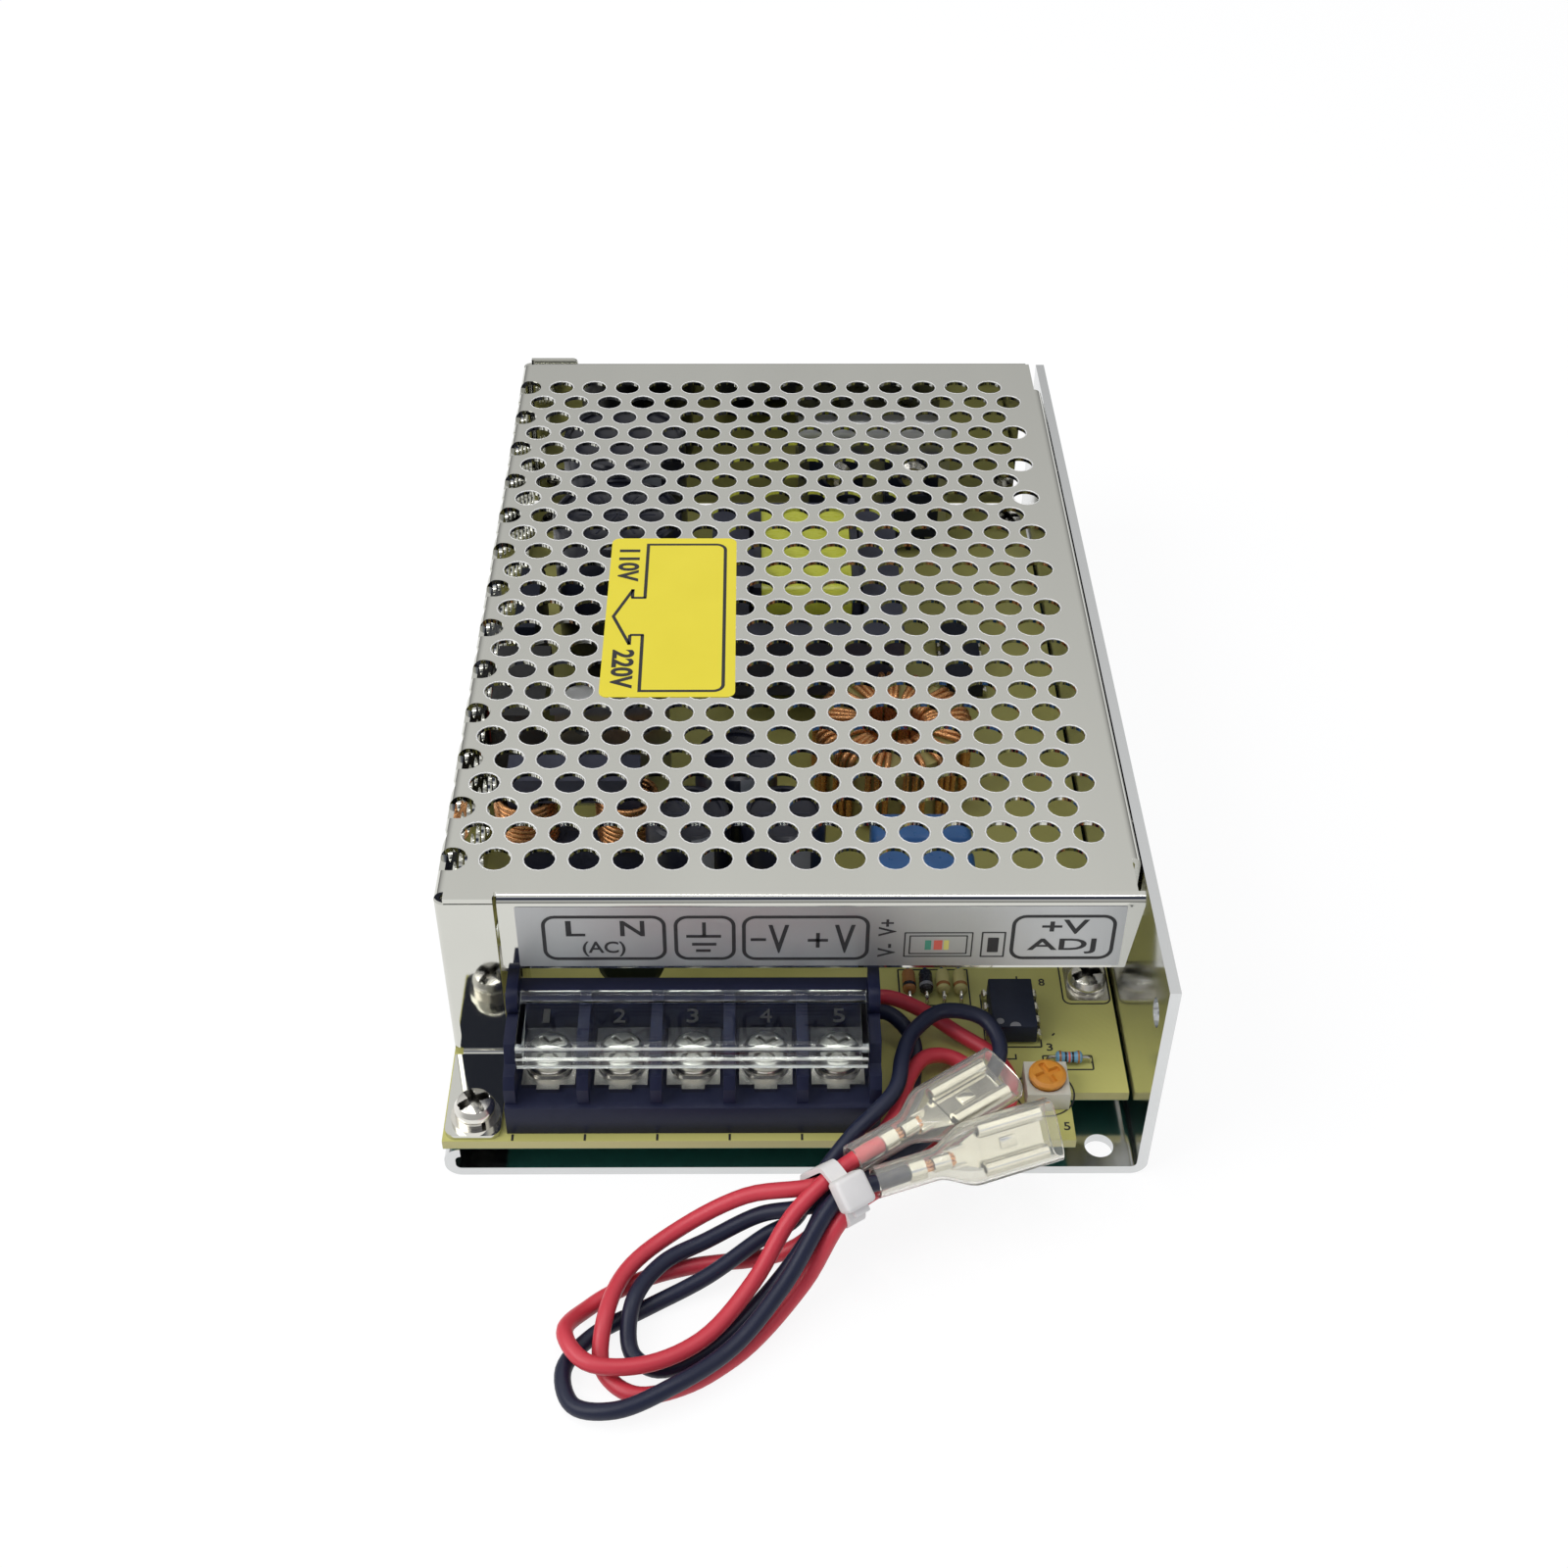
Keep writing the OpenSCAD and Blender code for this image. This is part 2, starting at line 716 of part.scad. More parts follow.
// Outline of the foot, with its two front corners rounded
module foot_outline() {
  corner = 1.5;
  x0 = left_x + cover_gap;
  x1 = left_x + tab_w;
  y0 = front_y + relief;
  y1 = lip_y - cover_bend_r;
  translate([x0, y0 + corner])
    square([x1 - x0, y1 - y0 - corner]);
  translate([x0 + corner, y0])
    square([x1 - x0 - 2 * corner, corner]);
  for (x = [x0 + corner, x1 - corner])
    translate([x, y0 + corner])
      circle(corner);
}

// The rear corner tab stands as high as the top, with a rounded corner
module cover_rear_tab() {
  corner = 1;
  x0 = left_x + cover_bend;
  x1 = left_x + rear_tab_w;
  tab_h = case_h - corner - board_top;
  translate([x0, rear_y - cover_bend, board_top])
    rotate(90)
      bend_strip(cover_bend_r, cover_t, tab_h);
  along_y(rear_y - cover_t)
    linear_extrude(cover_t) {
      translate([x0, board_top])
        square([x1 - x0, tab_h]);
      translate([x0, board_top + tab_h])
        square([x1 - x0 - corner, corner]);
      translate([x1 - corner, board_top + tab_h])
        circle(corner);
    }
}

module cover() {
  color("gainsboro") {
    cover_top();
    cover_left();
    cover_left_fold();
    cover_front();
    cover_rear();
    cover_side_flange();
    cover_front_tab();
    cover_rear_tab();
  }
}

// Board and fasteners

module main_board() {
  x1 = right_x - chassis_t - board_gap;
  y0 = front_y + 0.2;
  y1 = rear_lip_y - cover_t - board_gap;
  color("darkkhaki")
    translate([0, 0, board_z])
      linear_extrude(board_t)
        difference() {
          translate([left_x, y0])
            square([x1 - left_x, y1 - y0]);
          translate([x1 - notch_w, y0 - eps])
            square([notch_w + eps, notch_d + eps]);
          for (p = [[foot_x, foot_y], [foot_x, rear_screw_y],
                    [right_screw_x, front_screw_y], [right_screw_x, rear_screw_y]])
            translate(p)
              circle(d = screw_d + 2 * screw_fit);
        }
}

module standoffs() {
  color("lightgray")
    for (y = [front_screw_y, rear_screw_y])
      translate([right_screw_x, y, chassis_t])
        difference() {
          cylinder(d = standoff_d, h = board_z - chassis_t);
          translate([0, 0, board_z - chassis_t - 3.2])
            cylinder(d = screw_d + screw_fit, h = 3.2 + eps);
        }
}

module board_screws() {
  color("silver")
    for (p = [[foot_x, rear_screw_y], [right_screw_x, front_screw_y], [right_screw_x, rear_screw_y]])
      translate([p[0], p[1], board_top])
        pan_screw(screw_d, board_t + 2.6, head_d, head_h);
}

// Two sunk screws, flush with the right wall
module cover_screws() {
  slot_w = 0.8;
  length = chassis_t + cover_gap + cover_t + 1.5;
  color("silver")
    for (y = cover_screw_y)
      translate([right_x, y, cover_screw_z])
        rotate([0, 90, 0])
          difference() {
            union() {
              translate([0, 0, -sunk_h])
                cylinder(d1 = screw_d, d2 = sunk_d, h = sunk_h);
              translate([0, 0, -length])
                cylinder(d = screw_d, h = length - sunk_h / 2);
            }
            for (a = [0, 90])
              rotate(a)
                translate([-sunk_d * 0.3, -slot_w / 2, -0.7])
                  cube([sunk_d * 0.6, slot_w, 0.7 + eps]);
          }
}

module flat_washer() {
  color("silver")
    translate([foot_x, foot_y, foot_top])
      difference() {
        cylinder(d = head_d + 1.2, h = washer_t);
        translate([0, 0, -eps])
          cylinder(d = screw_d + screw_fit, h = washer_t + 2 * eps);
      }
}

// The spring washer is cut through on one side
module spring_washer() {
  color("silver")
    translate([foot_x, foot_y, foot_top + washer_t])
      difference() {
        cylinder(d = head_d, h = spring_t);
        translate([0, 0, -eps])
          cylinder(d = screw_d + screw_fit, h = spring_t + 2 * eps);
        rotate(-60)
          translate([0, -0.3, -eps])
            cube([head_d, 0.6, spring_t + 2 * eps]);
      }
}

module foot_screw() {
  stack = washer_t + spring_t + cover_t;
  color("silver")
    translate([foot_x, foot_y, foot_top + washer_t + spring_t])
      pan_screw(screw_d, stack + board_t + chassis_t, head_d, head_h);
}

// Terminal block

// Side outline of a barrier, from the front of the block, above the board
module barrier_outline() {
  polygon([
    [0.8, 0], [0.8, barrier_low - 1.5], [2, barrier_low], [barrier_step, barrier_low],
    [barrier_step + 1, barrier_top], [term_d, barrier_top], [term_d, 0]
  ]);
}

// Side outline of an end plate, which rises round the hinge
module ear_outline() {
  barrier_outline();
  translate([hinge_y - term_y0, hinge_z - board_top])
    circle(ear_h - (hinge_z - board_top));
  translate([hinge_y - term_y0, 0])
    square([term_d - (hinge_y - term_y0), ear_h]);
}

module terminal_body() {
  color([0.12, 0.12, 0.14])
    difference() {
      union() {
        translate([term_x0 - barrier_t / 2, term_y0, board_top])
          cube([term_w + barrier_t, term_d, term_base_h]);
        translate([term_x0, term_y0 + term_d - term_wall_t, board_top])
          cube([term_w, term_wall_t, flap_h - flap_gap]);
        for (i = [1 : term_count - 1])
          along_x(term_x0 + i * term_pitch - barrier_t / 2)
            translate([term_y0, board_top])
              linear_extrude(barrier_t)
                barrier_outline();
        for (i = [0, term_count])
          along_x(term_x0 + i * term_pitch - barrier_t / 2)
            translate([term_y0, board_top])
              linear_extrude(barrier_t)
                ear_outline();
      }
      translate([term_x0 - barrier_t, hinge_y, hinge_z])
        rotate([0, 90, 0])
          cylinder(d = pin_d + pin_fit, h = term_w + 2 * barrier_t);
      for (i = [0 : term_count - 1])
        translate([term_x0 + (i + 0.5) * term_pitch, term_screw_y, board_top + 1])
          cylinder(d = term_screw_d + screw_fit, h = term_base_h);
    }
}

// Places a shape at each terminal
module each_terminal() {
  for (i = [0 : term_count - 1])
    translate([term_x0 + (i + 0.5) * term_pitch, term_screw_y, 0])
      children();
}

module terminal_contacts() {
  plate_w = term_pitch - barrier_t - 1;
  y1 = term_y0 + term_d - term_wall_t - flap_gap - term_screw_y;
  y0 = -clamp_w / 2 - 1.2;
  lug_w = 3.1;
  color("silver")
    each_terminal()
      translate([0, 0, contact_z])
        difference() {
          union() {
            translate([-plate_w / 2, y0, 0])
              cube([plate_w, y1 - y0, contact_t]);
            translate([-lug_w / 2, y0 - 0.8, 0])
              cube([lug_w, 1, contact_t]);
          }
          translate([0, 0, -eps])
            cylinder(d = term_screw_d + screw_fit, h = contact_t + 2 * eps);
        }
}

// A square clamp with its two side edges turned down over the wire
module terminal_clamps() {
  color("silver")
    each_terminal()
      translate([0, 0, clamp_z])
        difference() {
          translate([-clamp_w / 2, -clamp_w / 2, 0])
            cube([clamp_w, clamp_w, clamp_t]);
          translate([0, 0, -eps])
            cylinder(d = term_screw_d + screw_fit, h = clamp_t + 2 * eps);
          translate([-clamp_w / 2 + 1, -clamp_w / 2 - eps, -eps])
            cube([clamp_w - 2, 1 + eps, 0.3 + eps]);
        }
}

module terminal_screws() {
  color("silver")
    each_terminal()
      translate([0, 0, term_head_z])
        pan_screw(term_screw_d, clamp_t + contact_t + term_base_h - 1.5, term_head_d, term_head_h);
}

// Section of the clear flap in the YZ plane: hinge barrel, plate, front edge and a bead on it
module flap_section() {
  bead_r = 0.45;
  translate([hinge_y, hinge_z])
    circle(barrel_r);
  translate([flap_front, board_top + flap_h - flap_t])
    square([flap_reach, flap_t]);
  translate([flap_front, board_top + flap_h - flap_lip_h])
    square([flap_t, flap_lip_h]);
  translate([flap_front, board_top + flap_h - flap_lip_h / 2])
    circle(bead_r);
}

module terminal_flap() {
  flap_x0 = term_x0 + barrier_t / 2 + flap_gap;
  flap_w = term_w - barrier_t - 2 * flap_gap;
  cheek_t = 0.8;
  color([0.85, 0.9, 0.92, 0.35]) {
    along_x(flap_x0)
      linear_extrude(flap_w)
        flap_section();
    for (x = [flap_x0, flap_x0 + flap_w - cheek_t])
      along_x(x)
        linear_extrude(cheek_t)
          polygon([
            [flap_front, board_top + flap_h], [flap_front, board_top + flap_h - flap_lip_h],
            [flap_front + 2, board_top + flap_h - flap_lip_h],
            [hinge_y - barrel_r, board_top + flap_h - flap_t], [hinge_y - barrel_r, board_top + flap_h]
          ]);
    along_x(term_x0 - barrier_t / 2)
      translate([hinge_y, hinge_z])
        linear_extrude(term_w + barrier_t)
          circle(d = pin_d);
  }
}

// Controls and small parts at the front

module trimmer_base() {
  well = trimmer_h - 1.3;
  color("lightgray")
    translate([trimmer_pos[0], trimmer_pos[1], board_top])
      difference() {
        translate([-trimmer_w / 2, -trimmer_w / 2, 0])
          cube([trimmer_w, trimmer_w, trimmer_h]);
        translate([0, 0, trimmer_h - well])
          cylinder(d = rotor_d + 2 * run_gap, h = well + eps);
      }
}

module trimmer_rotor() {
  z0 = 1.3 + run_gap;
  height = trimmer_h + rotor_rise - z0;
  cap_z = trimmer_h + run_gap - z0;
  slot_w = cap_d * 0.17;
  color("darkorange")
    translate([trimmer_pos[0], trimmer_pos[1], board_top + z0])
      difference() {
        union() {
          cylinder(d = rotor_d, h = height);
          translate([0, 0, cap_z])
            cylinder(d = cap_d, h = height - cap_z);
        }
        for (a = [0, 90])
          rotate(a)
            translate([-cap_d * 0.34, -slot_w / 2, height - 0.6])
              cube([cap_d * 0.68, slot_w, 0.6 + eps]);
      }
}

module control_chip() {
  color([0.15, 0.15, 0.17])
    translate([control_pos[0], control_pos[1], board_top])
      chip(6.6, 9.6, 3.3, 8);
}

module signal_diodes() {
  color("saddlebrown")
    for (i = [0 : 3])
      translate([right_x - diode_side + i * diode_pitch, front_y + diode_front, board_top])
        rotate(90)
          axial_part(2, 4, 6.4, 0.6);
}

module blue_resistor() {
  color("steelblue")
    translate([right_x - resistor_side, front_y + resistor_front, board_top])
      axial_part(1.8, 3.8, 6.2, 0.5);
}

// Voltage selector

module selector_body() {
  depth = 8.5;
  pocket = 4;
  color("firebrick")
    difference() {
      translate([selector_x, selector_y - selector_l / 2, board_top])
        cube([depth, selector_l, window_z + window_h / 2 + 2]);
      translate([selector_x - eps, selector_y - window_l / 2, selector_z - window_h / 2])
        cube([pocket + eps, window_l, window_h]);
    }
}

// The slider rests at its front stop
module selector_slider() {
  length = window_l - 2 * run_gap - slide_travel;
  height = window_h - 2 * run_gap;
  y0 = selector_y - window_l / 2 + run_gap;
  color("red")
    difference() {
      translate([left_x + cover_t / 2, y0, selector_z - height / 2])
        cube([selector_x + 4 - run_gap - left_x - cover_t / 2, length, height]);
      translate([left_x, y0 + length / 2 - 0.6, selector_z - height / 2 + 1])
        cube([1.2, 1.2, height - 2]);
    }
}

// Mains input

fuse_x = left_x + fuse_side;
fuse_y = front_y + fuse_front;
fuse_d = 5.2;
fuse_l = 20;
fuse_z = board_top + fuse_d / 2 + 1.5;

module fuse() {
  cap_l = 5;
  color("gainsboro")
    translate([fuse_x, fuse_y - fuse_l / 2, fuse_z])
      rotate([-90, 0, 0]) {
        cylinder(d = fuse_d - 0.5, h = fuse_l);
        for (z = [0, fuse_l - cap_l])
          translate([0, 0, z])
            cylinder(d = fuse_d, h = cap_l);
      }
}

// Two spring clips, each a plate on the board with two cheeks beside the fuse cap
module fuse_clips() {
  clip_l = 4;
  clip_t = 0.5;
  inner = fuse_d + 0.2;
  color("silver")
    for (y = [fuse_y - fuse_l / 2 + 0.5, fuse_y + fuse_l / 2 - clip_l - 0.5])
      translate([fuse_x, y, board_top]) {
        translate([-inner / 2 - clip_t, 0, 0])
          cube([inner + 2 * clip_t, clip_l, clip_t]);
        for (x = [-inner / 2 - clip_t, inner / 2])
          translate([x, 0, 0])
            cube([clip_t, clip_l, fuse_d + 2]);
      }
}

module inrush_limiter() {
  disc_d = 10;
  disc_t = 4;
  leg_h = 3;
  color("darkslategray")
    translate([left_x + limiter_side, front_y + limiter_front, board_top]) {
      translate([0, disc_t / 2, leg_h + disc_d / 2])
        rotate([90, 0, 0])
          cylinder(d = disc_d, h = disc_t);
      for (x = [-2.5, 2.5])
        translate([x, 0, 0])
          cylinder(d = 0.9, h = leg_h + 2);
    }
}

line_core_w = 20;
line_core_h = 18;
line_core_d = 6;
line_leg = 4.5;
line_coil_r = 5;
line_base_t = 2;

module line_choke_core() {
  window_w = line_core_w - 2 * line_leg;
  color([0.2, 0.2, 0.21])
    translate([line_choke_pos[0], line_choke_pos[1] + line_core_d / 2, board_top + line_base_t])
      rotate([90, 0, 0])
        linear_extrude(line_core_d)
          difference() {
            translate([-line_core_w / 2, 0])
              square([line_core_w, line_core_h]);
            translate([-window_w / 2, line_leg])
              square([window_w, line_core_h - 2 * line_leg]);
          }
}

module line_choke_bobbin() {
  color([0.16, 0.16, 0.18])
    translate([line_choke_pos[0] - line_core_w / 2, line_choke_pos[1] - line_base_d / 2, board_top])
      cube([line_core_w, line_base_d, line_base_t]);
}

// Two windings round the upright legs, with the turns standing out as rings
module line_choke_windings() {
  coil_h = line_core_h - 2 * line_leg;
  turns = 6;
  wire = coil_h / turns;
  leg_gap = 0.2;
  color("peru")
    for (sx = [-1, 1])
      translate([
        line_choke_pos[0] + sx * (line_core_w - line_leg) / 2, line_choke_pos[1],
        board_top + line_base_t + line_leg
      ])
        difference() {
          for (i = [0 : turns - 1])
            translate([0, 0, i * wire])
              rotate_extrude()
                polygon([
                  [0, 0], [line_coil_r - wire / 3, 0], [line_coil_r, wire / 3],
                  [line_coil_r, wire * 2 / 3], [line_coil_r - wire / 3, wire], [0, wire]
                ]);
          translate([-line_leg / 2 - leg_gap, -line_core_d / 2 - leg_gap, -eps])
            cube([line_leg + 2 * leg_gap, line_core_d + 2 * leg_gap, coil_h + 2 * eps]);
        }
}

module bridge_rectifier() {
  length = 20;
  thick = 3.6;
  height = 16;
  legs_h = 3;
  color([0.14, 0.14, 0.15])
    translate([left_x + bridge_side, bridge_y, board_top]) {
      translate([0, 0, legs_h])
        rotate([90, 0, 90])
          linear_extrude(thick)
            polygon([[0, 0], [length, 0], [length, height - 3], [length - 3, height], [0, height]]);
      for (i = [0 : 3])
        translate([thick / 2 - 0.4, 2 + i * 5.1, 0])
          cube([0.8, 1, legs_h + eps]);
    }
}

module bulk_capacitors() {
  color([0.13, 0.14, 0.2])
    for (y = bulk_y)
      translate([bulk_x, y, board_top])
        can(bulk_d, bulk_h);
}

// Transformer

winding_l = core_l - 2 * core_leg - 4;
window_half = core_w / 2 - core_leg;
tube_gap = 0.2;
tube_t = 1;
tunnel_w = core_mid + 2 * tube_gap;
tunnel_h = core_t + 2 * tube_gap;

// Places a shape at the middle of the transformer
module at_transformer() {
  translate([transformer_pos[0], transformer_pos[1], transformer_z])
    children();
}

module transformer_core() {
  color([0.18, 0.18, 0.19])
    at_transformer()
      translate([0, 0, -core_t / 2])
        linear_extrude(core_t)
          difference() {
            square([core_l, core_w], center = true);
            for (sy = [-1, 1])
              translate([0, sy * (core_mid / 2 + window_half) / 2])
                square([core_l - 2 * core_leg, window_half - core_mid / 2], center = true);
          }
}

// The bobbin: a tube on the middle leg, two flanges and two pin rails that stand on the board
module transformer_bobbin() {
  flange_t = 1.2;
  flange_w = 2 * window_half - 0.6;
  flange_z = winding_h + 1.6;
  foot_w = 6;
  color([0.1, 0.1, 0.11])
    at_transformer()
      difference() {
        union() {
          cube([winding_l + 2 * flange_t, tunnel_w + 2 * tube_t, tunnel_h + 2 * tube_t], center = true);
          for (sx = [-1, 1]) {
            translate([sx * (winding_l + flange_t) / 2, 0, 0])
              cube([flange_t, flange_w, flange_z], center = true);
            translate([
              sx > 0 ? winding_l / 2 : -winding_l / 2 - foot_w, -flange_w / 2, board_top - transformer_z
            ])
              cube([foot_w, flange_w, 3.5]);
          }
        }
        cube([core_l, tunnel_w, tunnel_h], center = true);
      }
}

module transformer_winding() {
  winding_w = 2 * window_half - 1;
  inner_w = tunnel_w + 2 * tube_t + tube_gap;
  inner_h = tunnel_h + 2 * tube_t + tube_gap;
  color("yellow")
    at_transformer()
      rotate([90, 0, 90])
        translate([0, 0, -winding_l / 2 + tube_gap / 2])
          linear_extrude(winding_l - tube_gap)
            difference() {
              rounded_rect([winding_w, winding_h], 3);
              square([inner_w, inner_h], center = true);
            }
}

// Switching and output parts

module primary_heatsink() {
  color("silver")
    translate([primary_x, primary_y, board_top])
      plate_heatsink(18, [4.5, 13.5]);
}

module switch_transistors() {
  color([0.15, 0.15, 0.16])
    for (x = [4.5, 13.5])
      translate([primary_x + x, primary_y, board_top])
        scale(0.86)
          power_device();
}

module secondary_heatsink() {
  color("silver")
    translate([secondary_x, secondary_y, board_top])
      mirror([0, 1, 0])
        plate_heatsink(28, [7, 21]);
}

module output_rectifiers() {
  color([0.15, 0.15, 0.16])
    for (x = [7, 21])
      translate([secondary_x + x, secondary_y, board_top])
        mirror([0, 1, 0])
          power_device();
}

module heatsink_screws() {
  color("silver")
    for (x = [7, 21])
      translate([secondary_x + x, secondary_y - 1.3, board_top + 16.4])
        rotate([90, 0, 0])
          pan_screw(screw_d, 1.3 + sink_t + 2, head_d, head_h);
}

choke_hole_r = 4.5;
choke_wire = 1.1;
choke_z = board_top;

module choke_core() {
  gap = 0.2;
  shell = choke_wire + gap;
  r0 = choke_hole_r + choke_wire + gap;
  r1 = choke_d / 2 - choke_wire - gap;
  color("khaki")
    translate([choke_pos[0], choke_pos[1], choke_z + shell])
      rotate_extrude()
        translate([r0, 0])
          square([r1 - r0, choke_h - 2 * shell]);
}

// A closed layer of wire with the outer turns standing proud of it
module choke_winding() {
  layer = choke_wire / 2;
  r0 = choke_hole_r;
  r1 = choke_d / 2;
  color("peru")
    translate([choke_pos[0], choke_pos[1], choke_z]) {
      rotate_extrude()
        translate([(r0 + r1) / 2, choke_h / 2])
          difference() {
            square([r1 - r0 - 2 * layer, choke_h - 2 * layer], center = true);
            square([r1 - r0 - 2 * choke_wire, choke_h - 2 * choke_wire], center = true);
          }
      for (i = [0 : choke_turns - 1])
        rotate(i * 360 / choke_turns)
          translate([0, choke_wire / 2, 0])
            rotate([90, 0, 0])
              linear_extrude(choke_wire)
                translate([(r0 + r1) / 2, choke_h / 2])
                  difference() {
                    rounded_rect([r1 - r0, choke_h], 1.2);
                    square([r1 - r0 - 1.6 * choke_wire, choke_h - 1.6 * choke_wire], center = true);
                  }
    }
}

module output_capacitors() {
  color([0.13, 0.14, 0.2])
    translate([left_x + output_side, front_y + output_front, board_top])
      for (p = [[0, 0], [output_pitch, 0], [output_pitch / 2, output_row]])
        translate(p)
          can(output_d, output_h);
}

module blue_capacitors() {
  width = 15;
  depth = 6.5;
  height = 16;
  color("royalblue")
    for (i = [0, 1])
      translate([left_x + blue_side, front_y + blue_front + i * (depth + blue_gap), board_top + 1]) {
        linear_extrude(height)
          rounded_rect([width, depth], 2);
        for (x = [-5, 5])
          translate([x, 0, -1])
            cylinder(d = 0.8, h = 2);
      }
}

module driver_chip() {
  color([0.15, 0.15, 0.17])
    translate([left_x + driver_side, driver_back, board_top])
      chip(6.6, 19.4, 3.3, 16);
}

module optocoupler() {
  color("whitesmoke")
    translate([left_x + opto_side, 0, board_top])
      chip(6.4, 4.6, 3.4, 4);
}

// Leads

// Routes of the two leads from the front right corner of the terminal block, chosen by eye: up from
// the board behind the block, round the tied bundle twice and out to the connectors
lead_at = [term_x0 + term_w, term_y0, 0];
red_steps = [
  [-2.1, 20.5, board_top], [-2.1, 20.5, board_top + 1], [-0.8, 20.5, 11.2], [2.4, 20, 12.6], [7.4, 19, 11],
  [12.4, 16.5, 9], [17.4, 12.5, 8.5], [19.4, 7.5, 8.5], [17.9, 2.5, 8.5], [11.4, -3.5, 8.5],
  [-4.1, -16.5, 12], [-10.1, -22.5, 4.5], [-18.1, -30.5, 1.2], [-25.6, -35.5, 1.2], [-31.6, -36.5, 1.2],
  [-35.6, -33, 1.2], [-35.6, -27.5, 3.8], [-33.1, -20, 3.8], [-27.1, -14.5, 4.5], [-17.6, -12, 9],
  [-7.6, -12, 11.5], [-1.6, -7, 11.5], [2.9, -0.5, 12], [4.9, 6, 11.5], [7.4, 10, 11],
  [10.9, 11.5, 9.5], [14.4, 9.5, 8.5], [14.9, 5, 8.5], [10.9, 0.5, 8.5], [3.4, -6.5, 8.5],
  [-5.6, -15, 9], [-11.6, -16.5, 3.5], [-17.1, -16.5, 1.2], [-24.6, -17.5, 1.2], [-32.1, -20, 1.2],
  [-38.1, -24, 1.2], [-40.6, -29, 3.5], [-37.6, -33.5, 3.8], [-30.6, -34, 3.8], [-23.1, -30.5, 4],
  [-16.6, -23, 5.5], [-11.6, -16.5, 10.5], [-6.6, -13, 14.2], [-3.1, -10.5, 15], [0.9, -7.7, 15]
];
black_steps = [
  [-2.1, 17.5, board_top], [-2.1, 17.5, board_top + 1], [-0.8, 17.5, 11.2], [2.4, 17, 12.6], [5.9, 14, 10.5],
  [5.9, 9, 8.4], [4.4, 2, 8.4], [-6.6, -13, 9.5], [-10.6, -14, 9], [-15.6, -13.5, 7],
  [-22.6, -15.5, 4.2], [-28.6, -19, 3.8], [-32.1, -25, 3.8], [-32.1, -30.5, 1.2], [-28.6, -33, 1.2],
  [-22.1, -30, 1.2], [-15.1, -23.5, 3], [-9.6, -18.7, 8.2], [-6.1, -14, 11.5], [1.9, -8.5, 11.5],
  [15.4, 5.5, 11], [17.9, 11, 12], [15.9, 15.5, 13], [10.4, 16.5, 13.5], [5.9, 12, 14.5],
  [3.9, 6.5, 15.5], [2.6, 1, 15], [-3.6, -5.5, 13], [-8.6, -10.5, 9], [-11.1, -13.5, 6],
  [-15.1, -15.5, 5], [-22.6, -20, 2.5], [-30.6, -24, 1.2], [-37.1, -28, 1.2], [-40.6, -33, 1.2],
  [-39.1, -38, 1.2], [-33.6, -39.5, 2.5], [-26.6, -37, 3.8], [-19.1, -31.5, 4], [-12.6, -24.5, 7.2],
  [-5.1, -15.5, 14], [-0.1, -14, 14.5], [4.4, -12.2, 14.5]
];
red_route = [for (step = red_steps) lead_at + step];
black_route = [for (step = black_steps) lead_at + step];
red_yaw = 35;
black_yaw = 20;
black_roll = 50;
tie_pos = lead_at + [-6.2, -13.4, 11.3];
tie_yaw = 33;

function unit(v) = v / norm(v);
function heading(p, i) = unit(p[min(i + 1, len(p) - 1)] - p[max(i - 1, 0)]);
// A side direction carried along the route without twist
function carried(side, t) = unit(side - (side * t) * t);
function sides(p) = [
  for (i = 0, s = [0, 1, 0]; i < len(p); i = i + 1, s = carried(s, heading(p, min(i, len(p) - 1)))) s
];
function ring(centre, side, t, r, n) = [
  for (k = [0 : n - 1]) centre + r * (cos(k * 360 / n) * side + sin(k * 360 / n) * cross(t, side))
];

// A round lead swept along the points of its route
module swept_lead(p, d) {
  n = 8;
  s = sides(p);
  points = [for (i = [0 : len(p) - 1]) each ring(p[i], s[i], heading(p, i), d / 2, n)];
  walls = [
    for (i = [0 : len(p) - 2], k = [0 : n - 1])
      [(i + 1) * n + k, (i + 1) * n + (k + 1) % n, i * n + (k + 1) % n, i * n + k]
  ];
  first = [for (k = [0 : n - 1]) k];
  last = [for (k = [n - 1 : -1 : 0]) (len(p) - 1) * n + k];
  polyhedron(points, [first, each walls, last]);
}

module red_lead() {
  color("crimson")
    swept_lead(red_route, lead_d);
}

module black_lead() {
  color([0.1, 0.1, 0.12])
    swept_lead(black_route, lead_d);
}

// A band round the bundle with its square lock on top
module cable_tie() {
  inner = [10.4, 8.8];
  lock = 4.4;
  color("whitesmoke")
    translate(tie_pos)
      rotate(tie_yaw) {
        rotate([90, 0, 90])
          translate([0, 0, -tie_w / 2])
            linear_extrude(tie_w)
              difference() {
                rounded_rect([inner[0] + 2 * tie_t, inner[1] + 2 * tie_t], 2 + tie_t);
                rounded_rect(inner, 2);
              }
        translate([-lock / 2, -lock / 2, inner[1] / 2 + tie_t / 2])
          cube([lock, lock, 3]);
      }
}

// Places a connector at the end of a lead, its mouth to +X
module at_lead_end(p, yaw, roll) {
  translate(p[len(p) - 1])
    rotate(yaw)
      rotate([roll, 0, 0])
        children();
}

